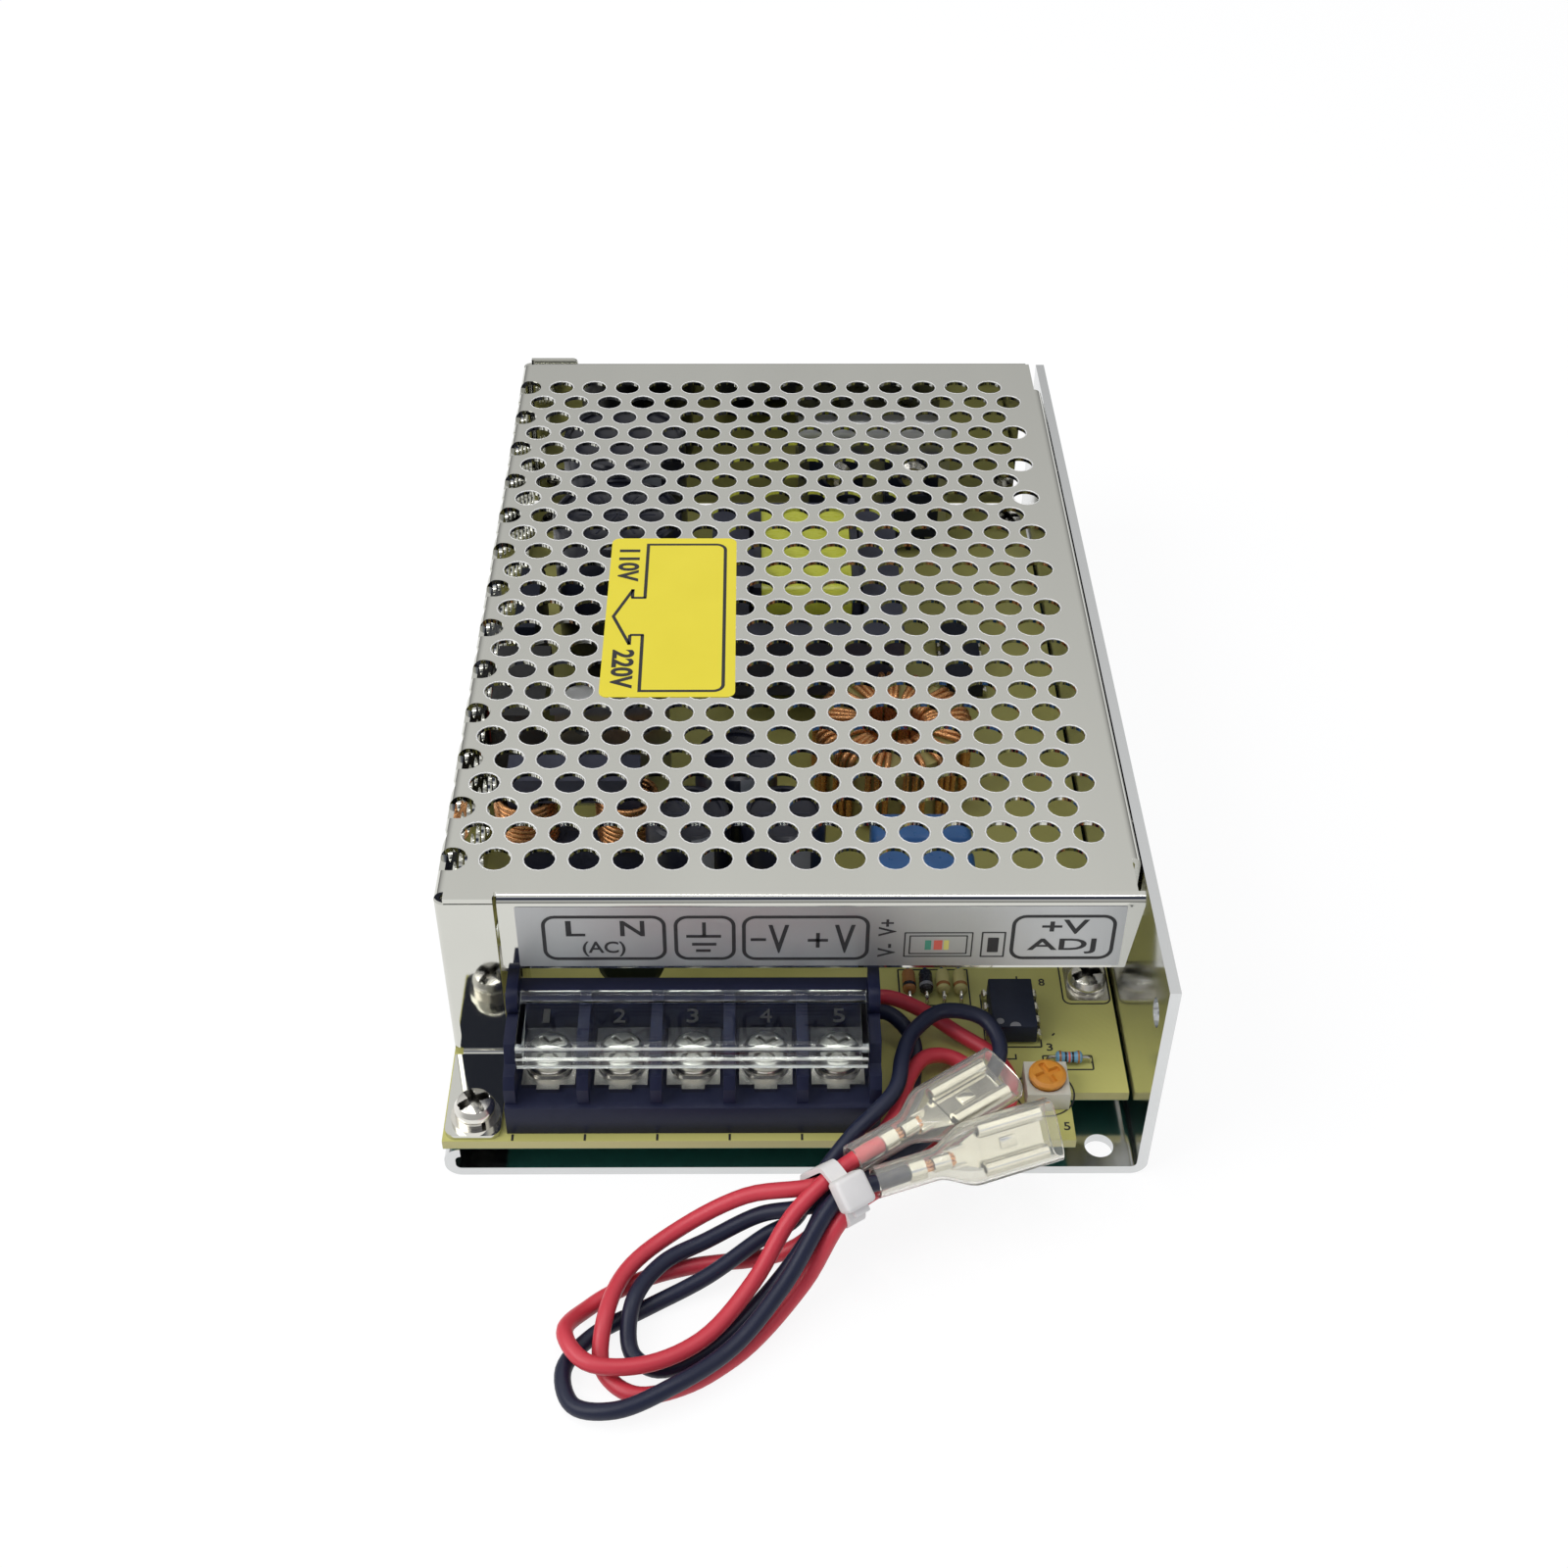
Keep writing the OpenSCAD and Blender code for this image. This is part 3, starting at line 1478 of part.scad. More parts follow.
// A push-on connector: crimp, neck and a flat receptacle with rolled edges
module spade() {
  crimp_l = 5;
  neck_l = 9.5;
  blade_l = 9;
  blade_w = 7;
  sheet = 0.5;
  roll_r = 1;
  floor_z = -1;
  rotate([0, 90, 0])
    cylinder(d = lead_d, h = crimp_l);
  translate([crimp_l - 1, -1.5, floor_z])
    cube([neck_l - crimp_l + 2, 3, sheet]);
  translate([neck_l, -blade_w / 2 + roll_r, floor_z])
    cube([blade_l, blade_w - 2 * roll_r, sheet]);
  for (sy = [-1, 1])
    translate([neck_l, sy * (blade_w / 2 - roll_r), floor_z + roll_r])
      rotate([90, 0, 90])
        linear_extrude(blade_l)
          difference() {
            circle(roll_r);
            circle(roll_r - sheet);
            translate([sy > 0 ? -2 * roll_r : 0, -roll_r + sheet])
              square([2 * roll_r, roll_r]);
          }
}

// A clear sleeve: a round neck on the lead that widens to a flat mouth
module sleeve() {
  neck_d = 4.2;
  neck_x = -5.5;
  taper_x = 3;
  flat_x = 8;
  mouth_x = 20;
  difference() {
    sleeve_skin(neck_d, [sleeve_w, sleeve_h], neck_x, taper_x, flat_x, mouth_x);
    sleeve_skin(
      neck_d - 2 * sleeve_t, [sleeve_w - 2 * sleeve_t, sleeve_h - 2 * sleeve_t],
      neck_x - eps, taper_x, flat_x, mouth_x + eps
    );
  }
}

// The outer or inner surface of a sleeve as a solid along X
module sleeve_skin(neck_d, mouth, x0, x1, x2, x3) {
  hull($fn = 32) {
    translate([x1 - 0.01, 0, 0])
      rotate([90, 0, 90])
        linear_extrude(0.01)
          circle(d = neck_d);
    translate([x2, 0, 0])
      rotate([90, 0, 90])
        linear_extrude(x3 - x2)
          rounded_rect(mouth, mouth[1] / 2 - 0.3);
  }
  translate([x0, 0, 0])
    rotate([90, 0, 90])
      linear_extrude(x1 - x0)
        circle(d = neck_d, $fn = 32);
}

module red_spade() {
  color("silver")
    at_lead_end(red_route, red_yaw, 0)
      spade();
}

module black_spade() {
  color("silver")
    at_lead_end(black_route, black_yaw, black_roll)
      spade();
}

module red_sleeve() {
  color([0.9, 0.92, 0.92, 0.4])
    at_lead_end(red_route, red_yaw, 0)
      sleeve();
}

module black_sleeve() {
  color([0.9, 0.92, 0.92, 0.4])
    at_lead_end(black_route, black_yaw, black_roll)
      sleeve();
}

chassis();
cover();
main_board();
standoffs();
board_screws();
cover_screws();
foot_screw();
spring_washer();
flat_washer();
terminal_body();
terminal_contacts();
terminal_clamps();
terminal_screws();
terminal_flap();
trimmer_base();
trimmer_rotor();
control_chip();
signal_diodes();
blue_resistor();
selector_body();
selector_slider();
fuse();
fuse_clips();
inrush_limiter();
line_choke_core();
line_choke_bobbin();
line_choke_windings();
bridge_rectifier();
bulk_capacitors();
transformer_core();
transformer_bobbin();
transformer_winding();
primary_heatsink();
switch_transistors();
secondary_heatsink();
output_rectifiers();
heatsink_screws();
choke_core();
choke_winding();
output_capacitors();
blue_capacitors();
driver_chip();
optocoupler();
red_lead();
black_lead();
cable_tie();
red_spade();
black_spade();
red_sleeve();
black_sleeve();
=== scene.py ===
import math

import bmesh
import bpy
from mathutils import Matrix, Vector


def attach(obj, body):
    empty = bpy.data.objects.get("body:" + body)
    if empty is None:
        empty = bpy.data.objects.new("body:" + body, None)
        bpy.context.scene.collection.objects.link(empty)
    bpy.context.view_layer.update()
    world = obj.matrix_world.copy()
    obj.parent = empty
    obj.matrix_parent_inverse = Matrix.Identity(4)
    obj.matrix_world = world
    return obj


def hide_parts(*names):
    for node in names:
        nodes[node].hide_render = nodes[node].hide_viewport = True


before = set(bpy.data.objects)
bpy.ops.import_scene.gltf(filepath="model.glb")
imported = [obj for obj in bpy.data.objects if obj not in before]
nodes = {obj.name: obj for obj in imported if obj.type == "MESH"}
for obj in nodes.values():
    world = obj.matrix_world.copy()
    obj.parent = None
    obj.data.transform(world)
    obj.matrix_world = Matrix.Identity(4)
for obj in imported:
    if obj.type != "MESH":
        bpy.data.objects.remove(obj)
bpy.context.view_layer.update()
scene = bpy.context.scene
scene.view_settings.view_transform = "Standard"
mm = 0.001
boardTop = 7.0  # upper face of the main board, in millimetres
acrossX = Matrix(((0, 0, 1, 0), (1, 0, 0, 0), (0, 1, 0, 0), (0, 0, 0, 1)))  # outline in YZ, raised along X
print("frame:", len(nodes), "nodes")


def at(x, y, z):
    return Matrix.Translation((x, y, z))


def turned(degrees, axis):
    return Matrix.Rotation(math.radians(degrees), 4, axis)


def linked(name, data):  # an object of the scene around its data
    made = bpy.data.objects.new(name, data)
    scene.collection.objects.link(made)
    return made


# camera, fitted to the photograph
photoView = {
    "lens": 45.902, "sensor": 36.0, "shift": (0.01349, -0.01222), "clip": (0.01, 30),
    "place": (-0.005763, -0.252374, 0.224291),
    "right": (0.99999, -0.00417, 0.00173),
    "up": (0.00142, 0.65359, 0.75685),
    "back": (-0.00429, -0.75684, 0.65359),
}


def makeCamera(view):
    lens = bpy.data.cameras.new("photoCamera")
    lens.lens, lens.sensor_width = view["lens"], view["sensor"]
    lens.shift_x, lens.shift_y = view["shift"]
    lens.clip_start, lens.clip_end = view["clip"]
    turn = Matrix((view["right"], view["up"], view["back"])).transposed()
    scene.camera = linked("photoCamera", lens)
    scene.camera.matrix_world = at(*view["place"]) @ turn.to_4x4()


makeCamera(photoView)
print("camera set")


# node graphs: sums on a wire add Math nodes
class Wire:
    def __init__(self, graph, socket):
        self.graph, self.socket = graph, socket

    def __add__(self, other):
        return self.graph.reckon("ADD", self, other)

    def __radd__(self, other):
        return self.graph.reckon("ADD", other, self)

    def __sub__(self, other):
        return self.graph.reckon("SUBTRACT", self, other)

    def __rsub__(self, other):
        return self.graph.reckon("SUBTRACT", other, self)

    def __mul__(self, other):
        return self.graph.reckon("MULTIPLY", self, other)

    def __rmul__(self, other):
        return self.graph.reckon("MULTIPLY", other, self)

    def __truediv__(self, other):
        return self.graph.reckon("DIVIDE", self, other)

    def __gt__(self, other):
        return self.graph.reckon("GREATER_THAN", self, other)

    def __lt__(self, other):
        return self.graph.reckon("LESS_THAN", self, other)


class Graph:
    def __init__(self, tree):
        self.tree = tree

    def join(self, value, socket):
        if isinstance(value, Wire):
            self.tree.links.new(value.socket, socket)
        else:
            socket.default_value = value

    def add(self, kind, values=None, out=0, **settings):  # a tuple of outputs gives a list of wires
        node = self.tree.nodes.new(kind)
        for key, value in settings.items():
            setattr(node, key, value)
        for key, value in (values or {}).items():
            self.join(value, node.inputs[key])
        if isinstance(out, tuple):
            return [Wire(self, node.outputs[key]) for key in out]
        return Wire(self, node.outputs[out])

    def reckon(self, operation, *values):
        return self.add("ShaderNodeMath", dict(enumerate(values)), operation=operation)

    def clamp(self, value):
        return self.add("ShaderNodeClamp", {"Value": value})

    def mix(self, share, first, second):
        pair = [value if isinstance(value, Wire) else (*value, 1.0) for value in (first, second)]
        return self.add("ShaderNodeMix", {0: share, 6: pair[0], 7: pair[1]}, 2, data_type="RGBA")


class Finish(Graph):
    def __init__(self, name, **sockets):
        self.material = bpy.data.materials.new(name)
        self.material.use_nodes = True
        super().__init__(self.material.node_tree)
        self.shader = self.tree.nodes["Principled BSDF"]
        for key, value in sockets.items():
            self.feed(key, value)

    def feed(self, key, value):
        self.join(value, self.shader.inputs[key])

    def place(self):
        return self.add("ShaderNodeTexCoord", out="Object")

    def noise(self, scale, stretch=(1, 1, 1), detail=3.0, shift=(0, 0, 0)):
        moved = self.add("ShaderNodeMapping", {"Vector": self.place(), "Location": shift, "Scale": stretch})
        return self.add("ShaderNodeTexNoise", {"Vector": moved, "Scale": scale, "Detail": detail})

    def coat(self, colour, cloud, rough, height, depth):  # roughness follows the cloud between two values
        low, high = rough
        self.feed("Base Color", colour)
        self.feed("Roughness", cloud * (high - low) + low)
        bump = {"Strength": 1.0, "Distance": depth * mm, "Height": height}
        self.feed("Normal", self.add("ShaderNodeBump", bump))
        return self.material


# plain finishes: two tones, roughness from and to, sizes of cloud and grain, depth of the relief
plate = {"metal": 1.0, "grain": 300, "relief": 0.001, "fine": 700}
moulded = {"grain": 500, "relief": 0.008, "fine": 3000}
printed = {"grain": 600, "relief": 0.002, "fine": 3000}
lacquer = {"grain": 700, "relief": 0.008, "fine": 2500}
cable = {"grain": 240, "relief": 0.01, "fine": 1600}
finishSettings = {
    "coverSteel": {"tones": ((0.58, 0.58, 0.535), (0.66, 0.66, 0.61)), "rough": (0.025, 0.085), "metal": 1.0,
                   "grain": 55, "stretch": (1, 0.05, 1), "relief": 0.0004, "fine": 900},
    # the rolled hole edges: a paler, less metallic copy of the cover steel, so each edge reads as a light
    # ring: painted highlight
    "rimSteel": {"tones": ((0.8, 0.8, 0.78), (0.88, 0.88, 0.86)), "rough": (0.4, 0.5), "metal": 0.3,
                 "grain": 400, "relief": 0.002, "fine": 2500},
    "chassisAluminium": {"tones": ((0.62, 0.63, 0.63), (0.7, 0.71, 0.71)), "rough": (0.1, 0.2),
                         "metal": 1.0, "grain": 70, "stretch": (1, 0.04, 1), "relief": 0.002, "fine": 1100},
    "plainAluminium": {"tones": ((0.58, 0.59, 0.6), (0.7, 0.71, 0.72)), "rough": (0.3, 0.46), "metal": 1.0,
                       "grain": 90, "stretch": (0.06, 1, 1), "relief": 0.004, "fine": 1000},
    "nickelPlate": {**plate, "tones": ((0.64, 0.62, 0.56), (0.76, 0.74, 0.68)), "rough": (0.17, 0.27)},
    "tinnedBrass": {**plate, "tones": ((0.62, 0.605, 0.54), (0.73, 0.715, 0.645)), "rough": (0.1, 0.2)},
    # shade: reach in millimetres of the painted shade in the cross recesses
    "screwNickel": {**plate, "tones": ((0.72, 0.705, 0.65), (0.84, 0.82, 0.77)), "rough": (0.2, 0.3),
                    "shade": 1.4},
    "terminalNickel": {**plate, "tones": ((0.66, 0.645, 0.57), (0.78, 0.765, 0.69)), "rough": (0.3, 0.42),
                       "shade": 1.0},
    "copperWire": {"tones": ((0.66, 0.29, 0.11), (0.84, 0.44, 0.19)), "rough": (0.2, 0.36), "metal": 0.75,
                   "grain": 500, "relief": 0.006, "fine": 2000},
    "labelFoil": {"tones": ((0.42, 0.43, 0.435), (0.53, 0.54, 0.54)), "rough": (0.3, 0.42), "metal": 0.85,
                  "grain": 40, "stretch": (1, 1, 0.05), "relief": 0.002, "fine": 2200},
    "blockBlack": {**moulded, "tones": ((0.006, 0.008, 0.028), (0.011, 0.014, 0.041)), "rough": (0.34, 0.5),
                   "fine": 3500, "shine": 0.22},
    "bobbinBlack": {**moulded, "tones": ((0.024, 0.027, 0.046), (0.039, 0.043, 0.07)), "rough": (0.35, 0.5)},
    "selectorBlack": {**moulded, "tones": ((0.018, 0.018, 0.02), (0.032, 0.032, 0.035)),
                      "rough": (0.38, 0.52)},
    "selectorRed": {**moulded, "tones": ((0.5, 0.03, 0.02), (0.6, 0.045, 0.03)), "rough": (0.34, 0.48)},
    "limiterGreen": {"tones": ((0.02, 0.035, 0.028), (0.035, 0.055, 0.045)), "rough": (0.4, 0.6),
                     "grain": 500, "relief": 0.03, "fine": 1400},
    "trimmerCream": {"tones": ((0.56, 0.54, 0.45), (0.66, 0.64, 0.55)), "rough": (0.4, 0.55),
                     "grain": 600, "relief": 0.006, "fine": 3000},
    "trimmerOrange": {**lacquer, "tones": ((0.6, 0.22, 0.02), (0.72, 0.3, 0.035)), "rough": (0.32, 0.5),
                      "fine": 3000},
    "optoWhite": {**lacquer, "tones": ((0.66, 0.66, 0.63), (0.76, 0.76, 0.73)), "rough": (0.42, 0.56),
                  "fine": 3500},
    "resistorBlue": {**lacquer, "tones": ((0.12, 0.3, 0.46), (0.18, 0.4, 0.56)), "rough": (0.28, 0.42)},
    "diodeBlack": {**lacquer, "tones": ((0.015, 0.015, 0.018), (0.03, 0.028, 0.03)), "rough": (0.2, 0.34),
                   "relief": 0.006},
    "diodeAmber": {**lacquer, "tones": ((0.3, 0.12, 0.035), (0.42, 0.2, 0.07)), "rough": (0.12, 0.24),
                   "relief": 0.004},
    "chipBlack": {"tones": ((0.012, 0.016, 0.032), (0.018, 0.023, 0.043)), "rough": (0.42, 0.6),
                  "grain": 900, "relief": 0.012, "fine": 5000, "shine": 0.3},
    "markGrey": {"tones": ((0.2, 0.2, 0.21), (0.28, 0.28, 0.29)), "rough": (0.5, 0.6),
                 "grain": 900, "relief": 0.004, "fine": 4000},
    "pvcRed": {**cable, "tones": ((0.58, 0.035, 0.055), (0.68, 0.05, 0.075)), "rough": (0.34, 0.5)},
    "pvcBlack": {**cable, "tones": ((0.01, 0.013, 0.034), (0.016, 0.02, 0.046)), "rough": (0.34, 0.5),
                 "shine": 0.32},
    "nylonWhite": {"tones": ((0.8, 0.78, 0.76), (0.88, 0.86, 0.84)), "rough": (0.34, 0.5),
                   "grain": 400, "relief": 0.01, "fine": 1800},
    "stickerYellow": {"tones": ((0.83, 0.7, 0.03), (0.89, 0.76, 0.042)), "rough": (0.28, 0.4),
                      "grain": 120, "relief": 0.004, "fine": 1500},
    "printBlack": {**printed, "tones": ((0.012, 0.012, 0.014), (0.02, 0.02, 0.022)), "rough": (0.45, 0.6)},
    "printGreen": {**printed, "tones": ((0.05, 0.24, 0.16), (0.07, 0.3, 0.2)), "rough": (0.4, 0.5)},
    "printRed": {**printed, "tones": ((0.62, 0.1, 0.07), (0.7, 0.14, 0.1)), "rough": (0.4, 0.5)},
    "printYellow": {**printed, "tones": ((0.66, 0.6, 0.14), (0.72, 0.66, 0.2)), "rough": (0.4, 0.5)},
    "ferriteGrey": {"tones": ((0.046, 0.05, 0.08), (0.076, 0.082, 0.124)), "rough": (0.5, 0.68),
                    "grain": 300, "relief": 0.02, "fine": 2500},
    "tapeYellow": {"tones": ((0.8, 0.84, 0.07), (0.88, 0.92, 0.12)), "rough": (0.2, 0.36),
                   "grain": 80, "stretch": (1, 4, 4), "relief": 0.03, "fine": 500},
    "coreYellow": {"tones": ((0.5, 0.45, 0.16), (0.6, 0.54, 0.22)), "rough": (0.4, 0.55),
                   "grain": 400, "relief": 0.02, "fine": 1800},
    "capBlue": {"tones": ((0.045, 0.16, 0.45), (0.08, 0.23, 0.56)), "rough": (0.22, 0.4),
                "grain": 260, "relief": 0.03, "fine": 900},
}
# painted shade in recesses: gain and drop applied to the ambient occlusion, and how dark the shaded tone is
paintedRecessShade = {"gain": 1.6, "drop": 0.45, "dark": 0.2}
finishes = {}


def plainFinish(name, tones, rough, grain, relief, fine, metal=0.0, stretch=(1, 1, 1), shine=0.5, shade=0.0):
    made = Finish(name, **{"Metallic": metal, "Specular IOR Level": shine})
    coarse = made.noise(grain, stretch)
    close = made.noise(fine, stretch, detail=2.0, shift=(0.013, 0.007, 0.021))
    colour = made.mix(coarse, *tones)
    if shade:  # painted shade: the base colour darkens in recesses, found by ambient occlusion over this many millimetres
        free = made.add("ShaderNodeAmbientOcclusion", {"Distance": shade * mm}, "AO", only_local=True)
        free = made.clamp(free * paintedRecessShade["gain"] - paintedRecessShade["drop"])
        colour = made.mix(free, [tone * paintedRecessShade["dark"] for tone in tones[0]], colour)
    return made.coat(colour, close, rough, close + coarse * 0.5, relief)


for finishName, row in finishSettings.items():
    finishes[finishName] = plainFinish(finishName, **row)

clearSettings = {  # clear plastics: tint, roughness from and to, refraction, share of light let through
    "flapClear": {"tint": (0.93, 0.96, 0.96), "rough": (0.015, 0.05), "bend": 1.4, "clear": 1.0},
    "sleeveClear": {"tint": (0.95, 0.94, 0.88), "rough": (0.05, 0.13), "bend": 1.28, "clear": 0.89},
    "flapCheek": {"tint": (0.9, 0.93, 0.92), "rough": (0.06, 0.14), "bend": 1.4, "clear": 0.75},
    # paler, half frosted edges of the flap: partly real frosting, partly painted highlight
    "flapEdge": {"tint": (0.93, 0.95, 0.88), "rough": (0.12, 0.22), "bend": 1.4, "clear": 0.5},
    "digitFrost": {"tint": (0.5, 0.52, 0.52), "rough": (0.3, 0.45), "bend": 1.4, "clear": 0.92},
    "fuseGlass": {"tint": (0.95, 0.97, 0.96), "rough": (0.01, 0.03), "bend": 1.45, "clear": 1.0},
}


def clearFinish(name, tint, rough, bend, clear, grain=160, dim=0.97, relief=0.01):
    made = Finish(name, **{"Transmission Weight": clear, "IOR": bend})
    haze = made.noise(grain, detail=2.0)
    colour = made.mix(haze, tint, [value * dim for value in tint])
    return made.coat(colour, haze, rough, haze, relief)


for finishName, row in clearSettings.items():
    finishes[finishName] = clearFinish(finishName, **row)

boardSettings = {
    "top": ((0.52, 0.5, 0.15), (0.6, 0.575, 0.19)), "edge": (0.56, 0.52, 0.22), "rough": (0.3, 0.46),
    "under": ((0.03, 0.18, 0.14), (0.045, 0.24, 0.19)), "weave": 5200, "topZ": 6.95, "underZ": 5.45,
    "blotch": 45, "detail": 4.0, "relief": 0.004,
}


def boardFinish(settings):
    made = Finish("boardLaminate")
    x, y, z = made.add("ShaderNodeSeparateXYZ", {0: made.place()}, (0, 1, 2))
    blotch = made.noise(settings["blotch"], detail=settings["detail"])
    weave = made.reckon("SINE", x * settings["weave"]) * made.reckon("SINE", y * settings["weave"])
    under = made.mix(blotch, *settings["under"])
    upper = made.mix(z > settings["topZ"] * mm, settings["edge"], made.mix(blotch, *settings["top"]))
    colour = made.mix(z < settings["underZ"] * mm, upper, under)
    return made.coat(colour, blotch, settings["rough"], weave + blotch, settings["relief"])


finishes["boardLaminate"] = boardFinish(boardSettings)

canSettings = {
    "sleeve": ((0.012, 0.014, 0.026), (0.022, 0.024, 0.042)), "stripe": (0.32, 0.34, 0.38),
    "rough": (0.22, 0.36), "cloud": 180, "stretch": (1, 1, 0.3), "relief": 0.02,
}


def canFinish(settings):  # a shrunk sleeve whose stripe follows the face attribute
    made = Finish("canSleeve")
    cloud = made.noise(settings["cloud"], settings["stretch"])
    stripe = made.add("ShaderNodeAttribute", out="Fac", attribute_name="stripe")
    colour = made.mix(stripe, made.mix(cloud, *settings["sleeve"]), settings["stripe"])
    return made.coat(colour, cloud, settings["rough"], cloud, settings["relief"])


finishes["canSleeve"] = canFinish(canSettings)
print("finishes:", len(finishes))


# meshes are built in millimetres and laid down in metres
def resize(part, factor):
    bmesh.ops.scale(part, vec=(factor,) * 3, verts=part.verts)


def moved(part, place):
    bmesh.ops.transform(part, matrix=place, verts=part.verts)
    return part


def opened(held):  # a mesh taken into a bmesh and let go
    part = bmesh.new()
    part.from_mesh(held)
    bpy.data.meshes.remove(held)
    return part


def closed(part, name):  # a bmesh turned into a mesh and let go
    held = bpy.data.meshes.new(name)
    part.to_mesh(held)
    part.free()
    return held


def evaluated(holder):  # the plain mesh that an object comes to
    view = bpy.context.evaluated_depsgraph_get()
    return bpy.data.meshes.new_from_object(holder.evaluated_get(view), depsgraph=view)


class Piece:
    def __init__(self, name):
        self.name, self.mesh, self.finishes = name, bmesh.new(), []

    def take(self, part, finish, place=None):
        if isinstance(part, bpy.types.Mesh):  # already in metres, from Geometry Nodes
            part = opened(part)
            resize(part, 1 / mm)
        if place is not None:
            moved(part, place)
        bmesh.ops.recalc_face_normals(part, faces=part.faces)
        if finish not in self.finishes:
            self.finishes.append(finish)
        for face in part.faces:
            face.material_index = self.finishes.index(finish)
            face.smooth = True
        held = closed(part, "held")
        self.mesh.from_mesh(held)
        bpy.data.meshes.remove(held)
        return self

    def repeat(self, part, points, finish, turn=0.0):  # the part at every point, turned about Z
        bmesh.ops.recalc_face_normals(part, faces=part.faces)
        resize(part, mm)
        pattern = linked("pattern", closed(part, "pattern"))
        values = {"Part": pattern, "Turn": turn, "Finish": finishes[finish]}
        made = runTree(trees["copies"], points, values)
        bpy.data.objects.remove(pattern)
        return self.take(made, finish)

    def lay(self, body, slot, *stoodFor, sharp=32):
        resize(self.mesh, mm)
        made = closed(self.mesh, self.name)
        for finish in self.finishes:
            made.materials.append(finishes[finish])
        made.set_sharp_from_angle(angle=math.radians(sharp))
        laid = linked(self.name, made)
        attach(laid, body)
        if stoodFor:
            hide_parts(*stoodFor)
        return laid


def dress(finish, *names):  # a CAD node keeps its shape and takes a finish
    for name in names:
        if not nodes[name].material_slots:
            nodes[name].data.materials.append(finishes[finish])
        for slot in nodes[name].material_slots:
            slot.material = finishes[finish]


def breakEdges(part, edges, width, steps=2, clamp=False):
    bmesh.ops.bevel(part, geom=edges, offset=width, segments=steps, profile=0.5, affect="EDGES",
                    clamp_overlap=clamp)


def soften(node, name, finish, width=0.12, sharpest=35):  # the CAD shape with its sharp edges broken
    part = bmesh.new()
    part.from_mesh(nodes[node].data)
    bmesh.ops.remove_doubles(part, verts=part.verts, dist=1e-6)
    bmesh.ops.dissolve_limit(part, angle_limit=math.radians(1), verts=part.verts, edges=part.edges)
    resize(part, 1 / mm)
    paired = [edge for edge in part.edges if len(edge.link_faces) == 2]
    breakEdges(part, [e for e in paired if e.calc_face_angle(0) > math.radians(sharpest)], width, clamp=True)
    return Piece(name).take(part, finish).lay("case", node, node)


def block(low, high, edge=0.1, steps=2):
    part = bmesh.new()
    bmesh.ops.create_cube(part, size=1.0)
    bmesh.ops.scale(part, vec=[b - a for a, b in zip(low, high)], verts=part.verts)
    bmesh.ops.translate(part, vec=[(a + b) / 2 for a, b in zip(low, high)], verts=part.verts)
    if edge:
        breakEdges(part, part.edges[:], edge, steps)
    return part


def fullTurn(steps):
    return [2 * math.pi * i / steps for i in range(steps)]


def circle(part, radius, height, steps):  # a ring of points round Z, or its pole at radius 0
    if radius < 1e-6:
        return [part.verts.new((0, 0, height))]
    return [part.verts.new((radius * math.cos(a), radius * math.sin(a), height)) for a in fullTurn(steps)]


def bridge(part, rings):  # faces between each ring, or pole, and the next
    for first, second in zip(rings, rings[1:]):
        for i in range(max(len(first), len(second))):
            corners = [first[i % len(first)], first[(i + 1) % len(first)],
                       second[(i + 1) % len(second)], second[i % len(second)]]
            corners = list(dict.fromkeys(corners))
            if len(corners) > 2:
                part.faces.new(corners)


def lathe(profile, steps=48):  # radius and height pairs round Z, closed at radius 0
    part = bmesh.new()
    bridge(part, [circle(part, radius, height, steps) for radius, height in profile])
    return part


def hoop(inner, outer, low, high):  # profile of a plain ring
    return [(inner, low), (outer, low), (outer, high), (inner, high), (inner, low)]


def tube(path, radius, sides=10):  # a round wire along points, with flat ends
    part = bmesh.new()
    points = [Vector(p) for p in path]
    side, rings = Vector((0.31, 0.57, 0.76)), []
    for i, point in enumerate(points):
        ahead = (points[min(i + 1, len(points) - 1)] - points[max(i - 1, 0)]).normalized()
        side = (side - ahead * side.dot(ahead)).normalized()
        other = ahead.cross(side)
        around = [(side * math.cos(a) + other * math.sin(a)) * radius for a in fullTurn(sides)]
        rings.append([part.verts.new(point + out) for out in around])
    bridge(part, rings)
    part.faces.new(rings[0][::-1])
    part.faces.new(rings[-1])
    return part


def prism(outline, low, high, holes=()):  # a flat outline raised from low to high
    part = bmesh.new()
    loops = []
    for line in (outline, *holes):
        loops.append([[part.verts.new((x, y, z)) for x, y in line] for z in (low, high)])
    for pair in loops:
        bridge(part, pair)
    if not holes:
        part.faces.new(loops[0][0][::-1])
        part.faces.new(loops[0][1])
        return part
    for level in (0, 1):
        edges = []
        for pair in loops:
            ring = pair[level]
            edges += [part.edges.get(ends) for ends in zip(ring, ring[1:] + ring[:1])]
        bmesh.ops.triangle_fill(part, use_beauty=True, edges=edges)
    return part


def arc(centre, radius, start, stop, steps=8):
    angles = [math.radians(start + (stop - start) * i / steps) for i in range(steps + 1)]
    return [(centre[0] + radius * math.cos(a), centre[1] + radius * math.sin(a)) for a in angles]


def roundedBox(x0, y0, x1, y1, radius, steps=6):
    points = []
    for x, y, start in ((x1 - radius, y1 - radius, 0), (x0 + radius, y1 - radius, 90),
                        (x0 + radius, y0 + radius, 180), (x1 - radius, y0 + radius, 270)):
        points += arc((x, y), radius, start, start + 90, steps)
    return points


